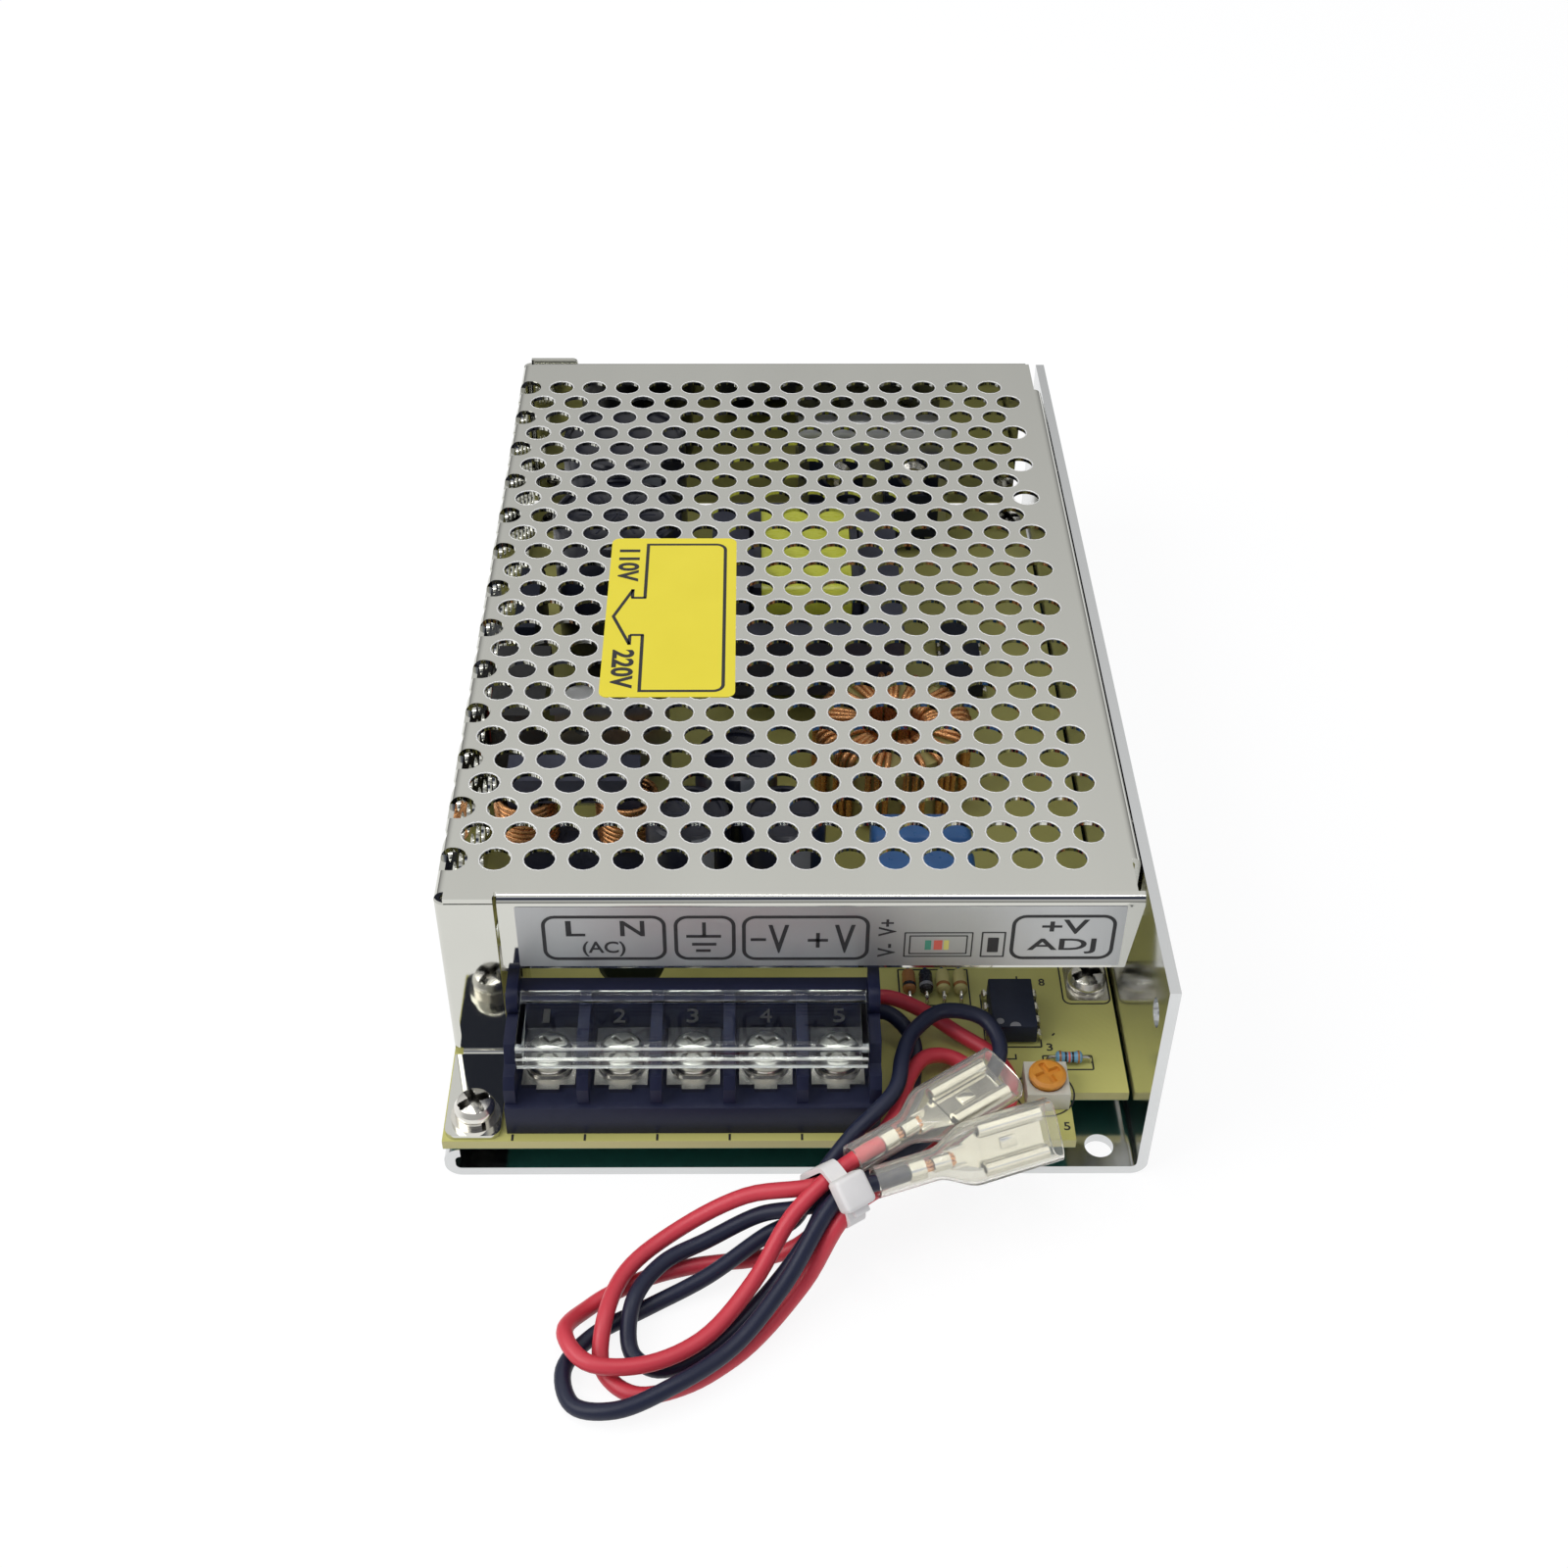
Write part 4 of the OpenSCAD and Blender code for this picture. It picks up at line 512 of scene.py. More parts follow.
def stroke(points, width):  # outline of an open line with mitred corners
    half, left, right = width / 2, [], []
    flat = [Vector((*p, 0)) for p in points]
    for i, point in enumerate(flat):
        before = (point - flat[i - 1]).normalized() if i else None
        after = (flat[i + 1] - point).normalized() if i + 1 < len(flat) else None
        ahead = (before + after).normalized() if before and after else before or after
        across = Vector((-ahead.y, ahead.x, 0))
        reach = half / max(0.35, (before or ahead).dot(ahead))
        left.append((point + across * reach).to_2d()[:])
        right.append((point - across * reach).to_2d()[:])
    return left + right[::-1]


def smooth(t):  # an eased step from 0 to 1
    t = min(max(t, 0), 1)
    return t * t * (3 - 2 * t)


crossSettings = {"rings": 28, "spokes": 88, "soft": 0.1, "rimFrom": 0.82, "rimWide": 0.18, "rimDrop": 0.3,
                 "side": 0.12, "under": 0.96}


def crossHead(head, slot, shank, dome=0.3):  # a screw head whose cross recess is worked into a polar grid
    part = bmesh.new()
    (width, height), (slotWidth, slotLength, depth), (length, core) = head, slot, shank
    radius, c = width / 2, crossSettings

    def inside(a, limit):
        return smooth((limit - abs(a)) / c["soft"] + 0.5)

    def dip(x, y):
        armX = inside(x, slotLength / 2) * inside(y, slotWidth / 2)
        armY = inside(y, slotLength / 2) * inside(x, slotWidth / 2)
        return depth * max(armX, armY)

    rings = [[part.verts.new((0, 0, height - dip(0, 0)))]]
    for k in range(1, c["rings"] + 1):
        share = k / c["rings"]
        fall = dome * share ** 2
        crown = height * (1 - fall - c["rimDrop"] * max(0, share - c["rimFrom"]) / c["rimWide"])
        ring = [(radius * share * math.cos(a), radius * share * math.sin(a)) for a in fullTurn(c["spokes"])]
        rings.append([part.verts.new((x, y, crown - dip(x, y))) for x, y in ring])
    below = [(radius, height * c["side"]), (radius * c["under"], 0.0), (core / 2, 0.0), (core / 2, -length)]
    rings += [circle(part, r, z, c["spokes"]) for r, z in below]
    bridge(part, rings)
    part.faces.new(rings[-1][::-1])
    return part


# Geometry Nodes: each tree is built here and run on a holder of points
def newTree(name, inputs):
    tree = bpy.data.node_groups.new(name, "GeometryNodeTree")
    tree.interface.new_socket("Points", in_out="INPUT", socket_type="NodeSocketGeometry")
    for label, kind in inputs.items():
        tree.interface.new_socket(label, in_out="INPUT", socket_type="NodeSocket" + kind)
    tree.interface.new_socket("Mesh", in_out="OUTPUT", socket_type="NodeSocketGeometry")
    graph = Graph(tree)
    graph.entry = {socket.name: Wire(graph, socket) for socket in tree.nodes.new("NodeGroupInput").outputs}
    return graph


def sweep(graph, line, steps, radius, caps=False):  # a round section along a curve
    section = graph.add("GeometryNodeCurvePrimitiveCircle", {"Resolution": steps, "Radius": radius})
    return graph.add("GeometryNodeCurveToMesh", {"Curve": line, "Profile Curve": section, "Fill Caps": caps})


def closeTree(graph, part, turn=None):  # the part at every point, made real and dressed
    values = {"Points": graph.entry["Points"], "Instance": part}
    if turn is not None:
        euler = graph.add("ShaderNodeCombineXYZ", {"Z": turn})
        values["Rotation"] = graph.add("FunctionNodeEulerToRotation", {"Euler": euler})
    spread = graph.add("GeometryNodeInstanceOnPoints", values)
    real = graph.add("GeometryNodeRealizeInstances", {"Geometry": spread})
    dressed = graph.add("GeometryNodeSetMaterial", {"Geometry": real, "Material": graph.entry["Finish"]})
    graph.join(dressed, graph.tree.nodes.new("NodeGroupOutput").inputs[0])
    return graph


def runTree(graph, points, values):
    held = bpy.data.meshes.new("holder")
    held.from_pydata([Vector(p) * mm for p in points], [], [])
    holder = linked("holder", held)
    step = holder.modifiers.new("make", "NODES")
    step.node_group = graph.tree
    for item in graph.tree.interface.items_tree:
        if item.in_out == "INPUT" and item.name in values:
            step[item.identifier] = values[item.name]
    made = evaluated(holder)
    holder.modifiers.remove(step)
    bpy.data.objects.remove(holder)
    return made


def copiesTree():  # one small part set at every point
    graph = newTree("copiesAtPoints", {"Part": "Object", "Turn": "Float", "Finish": "Material"})
    part = graph.add("GeometryNodeObjectInfo", {"Object": graph.entry["Part"]}, "Geometry")
    return closeTree(graph, part, graph.entry["Turn"])


def rimTree(steps=16, sides=4):  # the rolled edge round every punched hole, in a few dozen faces
    graph = newTree("holeRims", {"Hole radius": "Float", "Edge": "Float", "Finish": "Material"})
    line = graph.add("GeometryNodeCurvePrimitiveCircle",
                     {"Resolution": steps, "Radius": graph.entry["Hole radius"]})
    return closeTree(graph, sweep(graph, line, sides, graph.entry["Edge"]))


def turnsTree(sides=7, corner=1.6, cornerSteps=4):  # bundles of wire laid round a ring core
    graph = newTree("ringTurns", {
        "Strands": "Int", "Bundle": "Float", "Spread": "Float", "Middle": "Float",
        "Width": "Float", "Height": "Float", "Wire": "Float", "Finish": "Material"})
    entry = graph.entry
    loop = graph.add("GeometryNodeCurvePrimitiveQuadrilateral",
                     {"Width": entry["Width"], "Height": entry["Height"]})
    fillet = {"Curve": loop, "Count": cornerSteps, "Radius": entry["Wire"] * corner}
    loop = graph.add("GeometryNodeFilletCurve", fillet, mode="POLY")
    out = graph.add("ShaderNodeCombineXYZ", {"X": entry["Middle"]})
    stood = graph.add("GeometryNodeTransform",
                      {"Geometry": loop, "Rotation": (math.pi / 2, 0, 0), "Translation": out})
    index = graph.add("GeometryNodeInputIndex")
    group = graph.reckon("FLOOR", index / entry["Strands"])
    inGroup = index - group * entry["Strands"]
    angle = group * entry["Bundle"] + inGroup * entry["Spread"]
    return closeTree(graph, sweep(graph, stood, sides, entry["Wire"] * 0.5), angle)


def coilTree(steps=22, sides=7):  # a close coil standing at every point
    graph = newTree("standingCoils", {
        "Turns": "Float", "Radius": "Float", "Height": "Float", "Wire": "Float", "Finish": "Material"})
    entry = graph.entry
    line = graph.add("GeometryNodeCurveSpiral", {
        "Resolution": steps, "Rotations": entry["Turns"], "Start Radius": entry["Radius"],
        "End Radius": entry["Radius"], "Height": entry["Height"]})
    return closeTree(graph, sweep(graph, line, sides, entry["Wire"] * 0.5, caps=True))


trees = {"copies": copiesTree(), "rims": rimTree(), "turns": turnsTree(), "coils": coilTree()}
print("trees:", len(trees))

# leads: the routes of the part's source, from the front right corner of the terminal block
leadSettings = {"corner": (10.6, -78.0, 0.0), "width": 2.2, "steps": 7, "sides": 5}
redSteps = [
    (-2.1, 20.5, 7), (-2.1, 20.5, 8), (-0.8, 20.5, 11.2), (2.4, 20, 12.6), (7.4, 19, 11),
    (12.4, 16.5, 9), (17.4, 12.5, 8.5), (19.4, 7.5, 8.5), (17.9, 2.5, 8.5), (11.4, -3.5, 8.5),
    (-4.1, -16.5, 12), (-10.1, -22.5, 4.5), (-18.1, -30.5, 1.2), (-25.6, -35.5, 1.2), (-31.6, -36.5, 1.2),
    (-35.6, -33, 1.2), (-35.6, -27.5, 3.8), (-33.1, -20, 3.8), (-27.1, -14.5, 4.5), (-17.6, -12, 9),
    (-7.6, -12, 11.5), (-1.6, -7, 11.5), (2.9, -0.5, 12), (4.9, 6, 11.5), (7.4, 10, 11),
    (10.9, 11.5, 9.5), (14.4, 9.5, 8.5), (14.9, 5, 8.5), (10.9, 0.5, 8.5), (3.4, -6.5, 8.5),
    (-5.6, -15, 9), (-11.6, -16.5, 3.5), (-17.1, -16.5, 1.2), (-24.6, -17.5, 1.2), (-32.1, -20, 1.2),
    (-38.1, -24, 1.2), (-40.6, -29, 3.5), (-37.6, -33.5, 3.8), (-30.6, -34, 3.8), (-23.1, -30.5, 4),
    (-16.6, -23, 5.5), (-11.6, -16.5, 10.5), (-6.6, -13, 14.2), (-3.1, -10.5, 15), (0.9, -7.7, 15),
]
blackSteps = [
    (-2.1, 17.5, 7), (-2.1, 17.5, 8), (-0.8, 17.5, 11.2), (2.4, 17, 12.6), (5.9, 14, 10.5),
    (5.9, 9, 8.4), (4.4, 2, 8.4), (-6.6, -13, 9.5), (-10.6, -14, 9), (-15.6, -13.5, 7),
    (-22.6, -15.5, 4.2), (-28.6, -19, 3.8), (-32.1, -25, 3.8), (-32.1, -30.5, 1.2), (-28.6, -33, 1.2),
    (-22.1, -30, 1.2), (-15.1, -23.5, 3), (-9.6, -18.7, 8.2), (-6.1, -14, 11.5), (1.9, -8.5, 11.5),
    (15.4, 5.5, 11), (17.9, 11, 12), (15.9, 15.5, 13), (10.4, 16.5, 13.5), (5.9, 12, 14.5),
    (3.9, 6.5, 15.5), (2.6, 1, 15), (-3.6, -5.5, 13), (-8.6, -10.5, 9), (-11.1, -13.5, 6),
    (-15.1, -15.5, 5), (-22.6, -20, 2.5), (-30.6, -24, 1.2), (-37.1, -28, 1.2), (-40.6, -33, 1.2),
    (-39.1, -38, 1.2), (-33.6, -39.5, 2.5), (-26.6, -37, 3.8), (-19.1, -31.5, 4), (-12.6, -24.5, 7.2),
    (-5.1, -15.5, 14), (-0.1, -14, 14.5), (4.4, -12.2, 14.5),
]


def between(p, q, t, start, stop):
    return p * ((stop - t) / (stop - start)) + q * ((t - start) / (stop - start))


def smoothRoute(steps, settings):  # centripetal curve through the points of a route
    corner = Vector(settings["corner"])
    held = [Vector(p) + corner for p in steps]
    held = [held[0] * 2 - held[1], *held, held[-1] * 2 - held[-2]]
    route = []
    for a, b, c, d in zip(held, held[1:], held[2:], held[3:]):
        t1 = (b - a).length ** 0.5
        t2 = t1 + (c - b).length ** 0.5
        t3 = t2 + (d - c).length ** 0.5
        for i in range(settings["steps"]):
            t = t1 + (t2 - t1) * i / settings["steps"]
            middle = between(b, c, t, t1, t2)
            early = between(between(a, b, t, 0, t1), middle, t, 0, t2)
            late = between(middle, between(c, d, t, t2, t3), t, t1, t3)
            point = between(early, late, t, t1, t2)
            point.z = max(point.z, settings["width"] / 2)  # it lies on the floor, not in it
            route.append(point)
    return route + [held[-2]]


def makeLead(name, steps, finish, settings):
    route = [p * mm for p in smoothRoute(steps, settings)]
    line = bpy.data.curves.new(name, "CURVE")
    line.dimensions, line.use_fill_caps = "3D", True
    line.bevel_depth, line.bevel_resolution = settings["width"] / 2 * mm, settings["sides"]
    spline = line.splines.new("POLY")
    spline.points.add(len(route) - 1)
    for point, place in zip(spline.points, route):
        point.co = (*place, 1.0)
    spline.use_smooth = True
    line.materials.append(finishes[finish])
    return linked(name, line), route


def routeLength(route):
    return round(sum((b - a).length for a, b in zip(route, route[1:])), 4)


redLead, redRoute = makeLead("redLead", redSteps, "pvcRed", leadSettings)
blackLead, blackRoute = makeLead("blackLead", blackSteps, "pvcBlack", leadSettings)
for lead, node in ((redLead, "red_lead"), (blackLead, "black_lead")):
    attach(lead, "case")
    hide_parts(node)
print("leads:", routeLength(redRoute), routeLength(blackRoute))

# cable tie round the bundle
tieSettings = {
    "place": (4.4, -91.4, 11.3), "yaw": 33, "reach": 6.5, "slack": 0.02, "wall": 0.8, "width": 2.5,
    "lock": 4.4, "lockFrom": -0.7, "lockTo": 2.5, "lockEdge": 0.6, "lockTurn": 38,
    "tail": (0.9, -0.9, 0.5, 0.4, 1.4),  # share of the width, then from and to beside the lock
    "tailEdge": 0.2,
}


def crossings(route, place, reach):  # where a lead passes the plane of the tie: across, up
    inward = place.inverted()
    local = [inward @ (p / mm) for p in route]
    found = []
    for a, b in zip(local, local[1:]):
        if a.x * b.x < 0:
            p = a.lerp(b, a.x / (a.x - b.x))
            if p.yz.length < reach:
                found.append((p.y, p.z))
    return found


def wrapped(points, reach, steps=28):  # the shortest line round circles of one size
    ring = [(x + reach * math.cos(a), y + reach * math.sin(a)) for x, y in points for a in fullTurn(steps)]
    line = []
    for way in (sorted(ring), sorted(ring, reverse=True)):
        half = []
        for p in way:
            while len(half) > 1 and ((half[-1][0] - half[-2][0]) * (p[1] - half[-2][1])
                                     <= (half[-1][1] - half[-2][1]) * (p[0] - half[-2][0])):
                half.pop()
            half.append(p)
        line += half[:-1]
    return line


def makeTie(s):
    place = at(*s["place"]) @ turned(s["yaw"], "Z")
    strands = crossings(redRoute, place, s["reach"]) + crossings(blackRoute, place, s["reach"])
    inner = wrapped(strands, leadSettings["width"] / 2 + s["slack"])
    outer = wrapped(strands, leadSettings["width"] / 2 + s["wall"])
    half, lock = s["width"] / 2, s["lock"] / 2
    tie = Piece("cableTie")
    tie.take(prism(outer, -half, half, [inner]), "nylonWhite", place @ acrossX)
    turn = turned(s["lockTurn"], "X")
    seat = max((turn.inverted() @ Vector((0, *p)) for p in outer), key=lambda p: p.z)
    on = place @ turn @ at(0, seat.y, seat.z)
    lockBody = block((-lock, -lock, s["lockFrom"]), (lock, lock, s["lockTo"]), s["lockEdge"], steps=3)
    tie.take(lockBody, "nylonWhite", on)
    share, y0, z0, y1, z1 = s["tail"]
    tail = block((-half * share, -lock + y0, z0), (half * share, -lock + y1, z1), s["tailEdge"])
    tie.take(tail, "nylonWhite", on)
    return tie.lay("case", "tie", "cable_tie")


cableTie = makeTie(tieSettings)

# push-on connectors and their clear sleeves, in the frame of the lead's end
connectorSettings = {
    "red": {"end": (11.5, -85.7, 15.0), "yaw": 35, "roll": 0},
    "black": {"end": (15.0, -90.2, 14.5), "yaw": 20, "roll": 50},
}
spadeSettings = {
    "sheet": 0.4, "floor": -0.8, "from": 9.5, "to": 18.5, "edges": (0.2, 0.12),  # of tongue and ears
    "rollRadius": 0.8, "rollPlace": 2.6, "rollTurn": (-90, 205, 22),  # angles and steps
    "tongue": (12.4, 14.8, 0.8, 0.5),  # from, to, half width, height
    "neck": [(4.6, -1.2), (6.6, -1.3), (9.7, -2.6), (9.7, 2.6), (6.6, 1.3), (4.6, 1.2)],
    "ears": (5.0, 7.4, 1.25, 0.9),  # from, to, place across, height
    "crimps": ((2.4, 5.0, 1.08), (-1.0, 1.4, 1.4)),  # wire and insulation: from, to, radius
    "crimpWall": (0.25, 0.3, 0.12, 0.04),  # at the ends, in the middle, then lip and swell
    "strands": 6, "strandPlace": 0.52, "strandSpread": 1.15, "strandRadius": 0.24,
    "strandAlong": (-0.2, 2.5, 5.6),
}
sleeveSettings = {
    "neck": 2.1, "mouth": (4.2, 2.3), "wall": 0.45, "from": -5.5, "taper": (2.6, 8.2), "to": 20.0,
    "neckStations": (-2.0, 0.5), "mouthStations": (12.0, 16.0), "lips": (0.25, 0.2),
    "taperSteps": 8, "square": 1.6, "points": 44,
}


def endPlace(row):
    return at(*row["end"]) @ (turned(row["yaw"], "Z") @ turned(row["roll"], "X"))


def makeSpade(colour, row, s):
    place = endPlace(row)
    floor, roll, half = s["floor"], s["rollRadius"], s["sheet"] / 2
    tongueEdge, earEdge = s["edges"]
    right = arc((s["rollPlace"], floor + roll), roll, *s["rollTurn"])
    left = [(-y, z) for y, z in right][::-1]
    spade = Piece(colour + "Connector")
    rolled = prism(stroke(left + right, s["sheet"]), s["from"], s["to"])
    spade.take(rolled, "tinnedBrass", place @ acrossX)
    x0, x1, across, high = s["tongue"]
    spade.take(block((x0, -across, floor), (x1, across, floor + high), tongueEdge), "tinnedBrass", place)
    spade.take(prism(s["neck"], floor - half, floor + half), "tinnedBrass", place)
    x0, x1, across, high = s["ears"]
    for y in (-across, across):  # turned up edges of the neck
        ear = block((x0, y - half, floor - half), (x1, y + half, floor + high), earEdge)
        spade.take(ear, "tinnedBrass", place)
    endWall, wall, lip, swell = s["crimpWall"]
    for start, stop, radius in s["crimps"]:
        middle = (start + stop) / 2
        ring = [(radius - endWall, start), (radius, start + lip), (radius + swell, middle),
                (radius, stop - lip), (radius - endWall, stop), (radius - wall, middle)]
        spade.take(lathe(ring + ring[:1], steps=28), "tinnedBrass", place @ turned(90, "Y"))
    reach, spread, (x0, x1, x2) = s["strandPlace"], s["strandSpread"], s["strandAlong"]
    around = [(reach * math.cos(a), reach * math.sin(a)) for a in fullTurn(s["strands"])]
    for y, z in [*around, (0.0, 0.0)]:  # bare strands between the crimps
        strand = tube([(x0, y, z), (x1, y, z), (x2, y * spread, z * spread)], s["strandRadius"], sides=7)
        spade.take(strand, "copperWire", place)
    return spade.lay("case", "contact_metal", colour + "_spade")


def sleeveLoop(part, x, half, power, points):
    loop = []
    for a in fullTurn(points):
        y, z = math.cos(a), math.sin(a)
        y = math.copysign(abs(y) ** (2 / power), y) * half[0]
        z = math.copysign(abs(z) ** (2 / power), z) * half[1]
        loop.append(part.verts.new((x, y, z)))
    return loop


def makeSleeve(colour, row, s):
    part = bmesh.new()
    neck, (x1, x2), count = s["neck"], s["taper"], s["taperSteps"]
    stations = [s["from"], s["from"] + s["lips"][0], *s["neckStations"], x1]
    stations += [x1 + (x2 - x1) * k / count for k in range(1, count + 1)]
    stations += [*s["mouthStations"], s["to"] - s["lips"][1], s["to"]]
    skins = []
    for wall in (0.0, s["wall"]):
        skin = []
        for x in stations:
            t = smooth((x - x1) / (x2 - x1))
            half = [neck + (m - neck) * t - wall for m in s["mouth"]]
            skin.append(sleeveLoop(part, x, half, 2 + s["square"] * t, s["points"]))
        skins.append(skin)
    for skin in skins:
        bridge(part, skin)
    for end in (0, -1):
        bridge(part, [skin[end] for skin in skins])
    sleeve = Piece(colour + "Sleeve").take(part, "sleeveClear", endPlace(row))
    return sleeve.lay("case", "clear_sleeve", colour + "_sleeve", sharp=50)


for colour, row in connectorSettings.items():
    makeSpade(colour, row, spadeSettings)
    makeSleeve(colour, row, sleeveSettings)
routeLength(redRoute)
routeLength(blackRoute)
print("connectors and tie made")

# cover: CAD sheet with a rolled edge round each whole hole of the top
coverSettings = {
    "left": -48.5, "right": 46.7, "front": -63.8, "rear": 78.4, "top": 38.0, "hole": 4.5, "pitch": 6.0,
    "firstX": 1.7, "firstY": 7.8, "endX": 6.0, "endY": 9.0, "edge": 0.15, "sunk": 0.6, "fold": 1.4,
}


def holeCentres(c):
    pitch, rowPitch = c["pitch"], c["pitch"] * math.sqrt(3) / 2
    startX, startY = c["left"] + c["firstX"], c["front"] + c["firstY"]
    rows = math.floor((c["rear"] - c["endY"] - startY) / rowPitch) + 1
    columns = math.floor((c["right"] - c["endX"] - startX - pitch / 2) / pitch) + 1
    places = []
    for row in range(rows):
        for column in range(columns):
            x = startX + (row % 2) * pitch / 2 + column * pitch
            if x - c["hole"] / 2 > c["left"] + c["fold"]:
                places.append((x, startY + row * rowPitch, c["top"] - c["edge"] * c["sunk"]))
    return places


def makeRims(c):
    # the rims take the paler steel finish: painted highlight on the rolled edges
    values = {"Hole radius": c["hole"] / 2 * mm, "Edge": c["edge"] * mm, "Finish": finishes["rimSteel"]}
    rims = Piece("holeRims").take(runTree(trees["rims"], holeCentres(c), values), "rimSteel")
    return rims.lay("case", "cover", sharp=120)


makeRims(coverSettings)
dressed = {  # CAD nodes that keep their own shape
    "coverSteel": ["cover"],
    "chassisAluminium": ["chassis", "standoffs"],
    "boardLaminate": ["main_board"],
    "nickelPlate": ["cover_screws", "flat_washer", "spring_washer", "terminal_contacts", "fuse_clips",
                    "heatsink_screws"],
    "selectorBlack": ["selector_body"],
    "selectorRed": ["selector_slider"],
    "ferriteGrey": ["line_choke_core", "transformer_core"],
    "bobbinBlack": ["line_choke_bobbin", "transformer_bobbin"],
    "tapeYellow": ["transformer_winding"],
    "coreYellow": ["choke_core"],
    "plainAluminium": ["primary_heatsink", "secondary_heatsink"],
    "chipBlack": ["bridge_rectifier", "switch_transistors", "output_rectifiers"],
}
for finishName, names in dressed.items():
    dress(finishName, *names)
print("cover and case dressed")

# labels: prints are thin solids laid on the sheet
forwards = Matrix(((1, 0, 0, 0), (0, 0, -1, 0), (0, 1, 0, 0), (0, 0, 0, 1)))  # across, up, outwards
lipPlane = at(0, coverSettings["front"], 0) @ forwards
topPlane = at(0, 0, coverSettings["top"])
labelSettings = {"sheet": 0.08, "print": 0.02, "line": 0.52, "bold": 0.016}
stickerSettings = {**labelSettings, "bold": 0.034}


class Print(Piece):  # thin prints raised on one plane
    def __init__(self, name, plane, low, high, bold=labelSettings["bold"]):
        super().__init__(name)
        self.plane, self.low, self.high, self.bold = plane, low, high, bold

    def shape(self, outline, holes=(), finish="printBlack"):
        return self.take(prism(outline, self.low, self.high, holes), finish, self.plane)

    def frame(self, x0, y0, x1, y1, radius, width):
        inner = roundedBox(x0 + width, y0 + width, x1 - width, y1 - width, max(radius - width, 0.05))
        return self.shape(roundedBox(x0, y0, x1, y1, radius), [inner])

    def line(self, points, width):
        return self.shape(stroke(points, width))

    def words(self, text, box, turn=0, finish="printBlack"):  # fitted into a box of the plane
        words = bpy.data.curves.new("words", "FONT")
        words.body, words.resolution_u, words.offset = text, 4, self.bold
        holder = linked("words", words)
        part = opened(evaluated(holder))
        bpy.data.objects.remove(holder)
        bmesh.ops.remove_doubles(part, verts=part.verts, dist=1e-5)
        bmesh.ops.dissolve_limit(part, angle_limit=0.02, verts=part.verts, edges=part.edges)
        moved(part, turned(turn, "Z"))
        lowX, highX = (f(v.co.x for v in part.verts) for f in (min, max))
        lowY, highY = (f(v.co.y for v in part.verts) for f in (min, max))
        x0, y0, x1, y1 = box
        for vert in part.verts:
            vert.co.x = x0 + (vert.co.x - lowX) / (highX - lowX) * (x1 - x0)
            vert.co.y = y0 + (vert.co.y - lowY) / (highY - lowY) * (y1 - y0)
            vert.co.z = self.low
        raised = bmesh.ops.extrude_face_region(part, geom=part.faces[:])
        top = [item for item in raised["geom"] if isinstance(item, bmesh.types.BMVert)]
        bmesh.ops.translate(part, vec=(0, 0, self.high - self.low), verts=top)
        return self.take(part, finish, self.plane)


terminalRows = {  # places on the lip: across and up
    "sheet": (-37.7, 25.3, 43.9, 36.6, 0.3),
    "frames": [(-34.34, 26.5, -17.62, 35.0), (-16.59, 26.48, -8.29, 34.97), (-7.45, 26.43, 9.72, 34.95),
               (28.75, 26.5, 42.81, 35.0)], "round": 1.9,
    "words": [("L", (-31.1, 31.1, -28.5, 34.0)), ("N", (-23.8, 31.1, -20.5, 34.0)),
              ("(AC)", (-29.0, 27.2, -23.2, 30.1)), ("V", (-3.9, 27.8, -1.1, 33.2)),
              ("V", (5.0, 27.8, 7.8, 33.2)), ("+V", (32.8, 31.4, 39.1, 34.1)),
              ("ADJ", (31.1, 27.6, 40.4, 30.5)), ("V-  V+", (10.9, 27.0, 13.3, 34.2), 90)],
    "bars": [((-12.53, 31.05), (-12.53, 33.7)), ((-14.95, 31.05), (-10.25, 31.05)),
             ((-14.2, 29.53), (-10.9, 29.53)), ((-13.7, 28.3), (-11.7, 28.3)), ((-6.3, 30.4), (-4.2, 30.4)),
             ((1.4, 30.25), (4.15, 30.25)), ((2.78, 28.85), (2.78, 31.65))],
    "windows": [(14.4, 27.0, 23.7, 31.75, 0.12, 0.2), (15.1, 27.55, 23.0, 31.15, 0.12, 0.2),
                (24.8, 26.95, 28.1, 31.8, 0.12, 0.24)],
    "patches": [((25.7, 27.9, 27.2, 30.7, 0.1), "printBlack"),
                ((17.25, 28.4, 18.1, 30.2, 0.05), "printGreen"),
                ((18.45, 28.4, 19.6, 30.2, 0.05), "printRed"),
                ((19.8, 28.4, 20.5, 30.2, 0.05), "printYellow")],
}
stickerRows = {  # places on the cover's top
    "sheet": (-28.9, -21.3, -8.6, 20.1, 1.3),
    "edge": [(-22.97, 3.6), (-22.97, 18.3), (-11.9, 18.3), *arc((-11.9, 16.8), 1.5, 90, 0)[1:],
             (-10.4, -18.4), *arc((-11.9, -18.4), 1.5, 0, -90)[1:], (-22.9, -19.9), (-22.97, -6.1)],
    "arrow": [[(-22.76, 3.6), (-25.1, 3.6)], [(-22.76, -6.1), (-24.9, -6.1)],
              [(-24.9, 5.8), (-27.7, -1.3), (-24.9, -8.5)], [(-24.95, 3.6), (-24.95, 5.9)],
              [(-24.9, -6.1), (-24.9, -8.6)]],
    "words": [("110V", (-27.6, 8.0, -24.2, 16.9)), ("220V", (-27.4, -19.3, -24.0, -9.8))],
}


def newLabel(name, plane, sheet, finish, s):  # the bare sheet, ready for its prints
    label = Print(name, plane, s["sheet"], s["sheet"] + s["print"], s["bold"])
    label.take(prism(roundedBox(*sheet), 0.0, s["sheet"]), finish, plane)
    return label


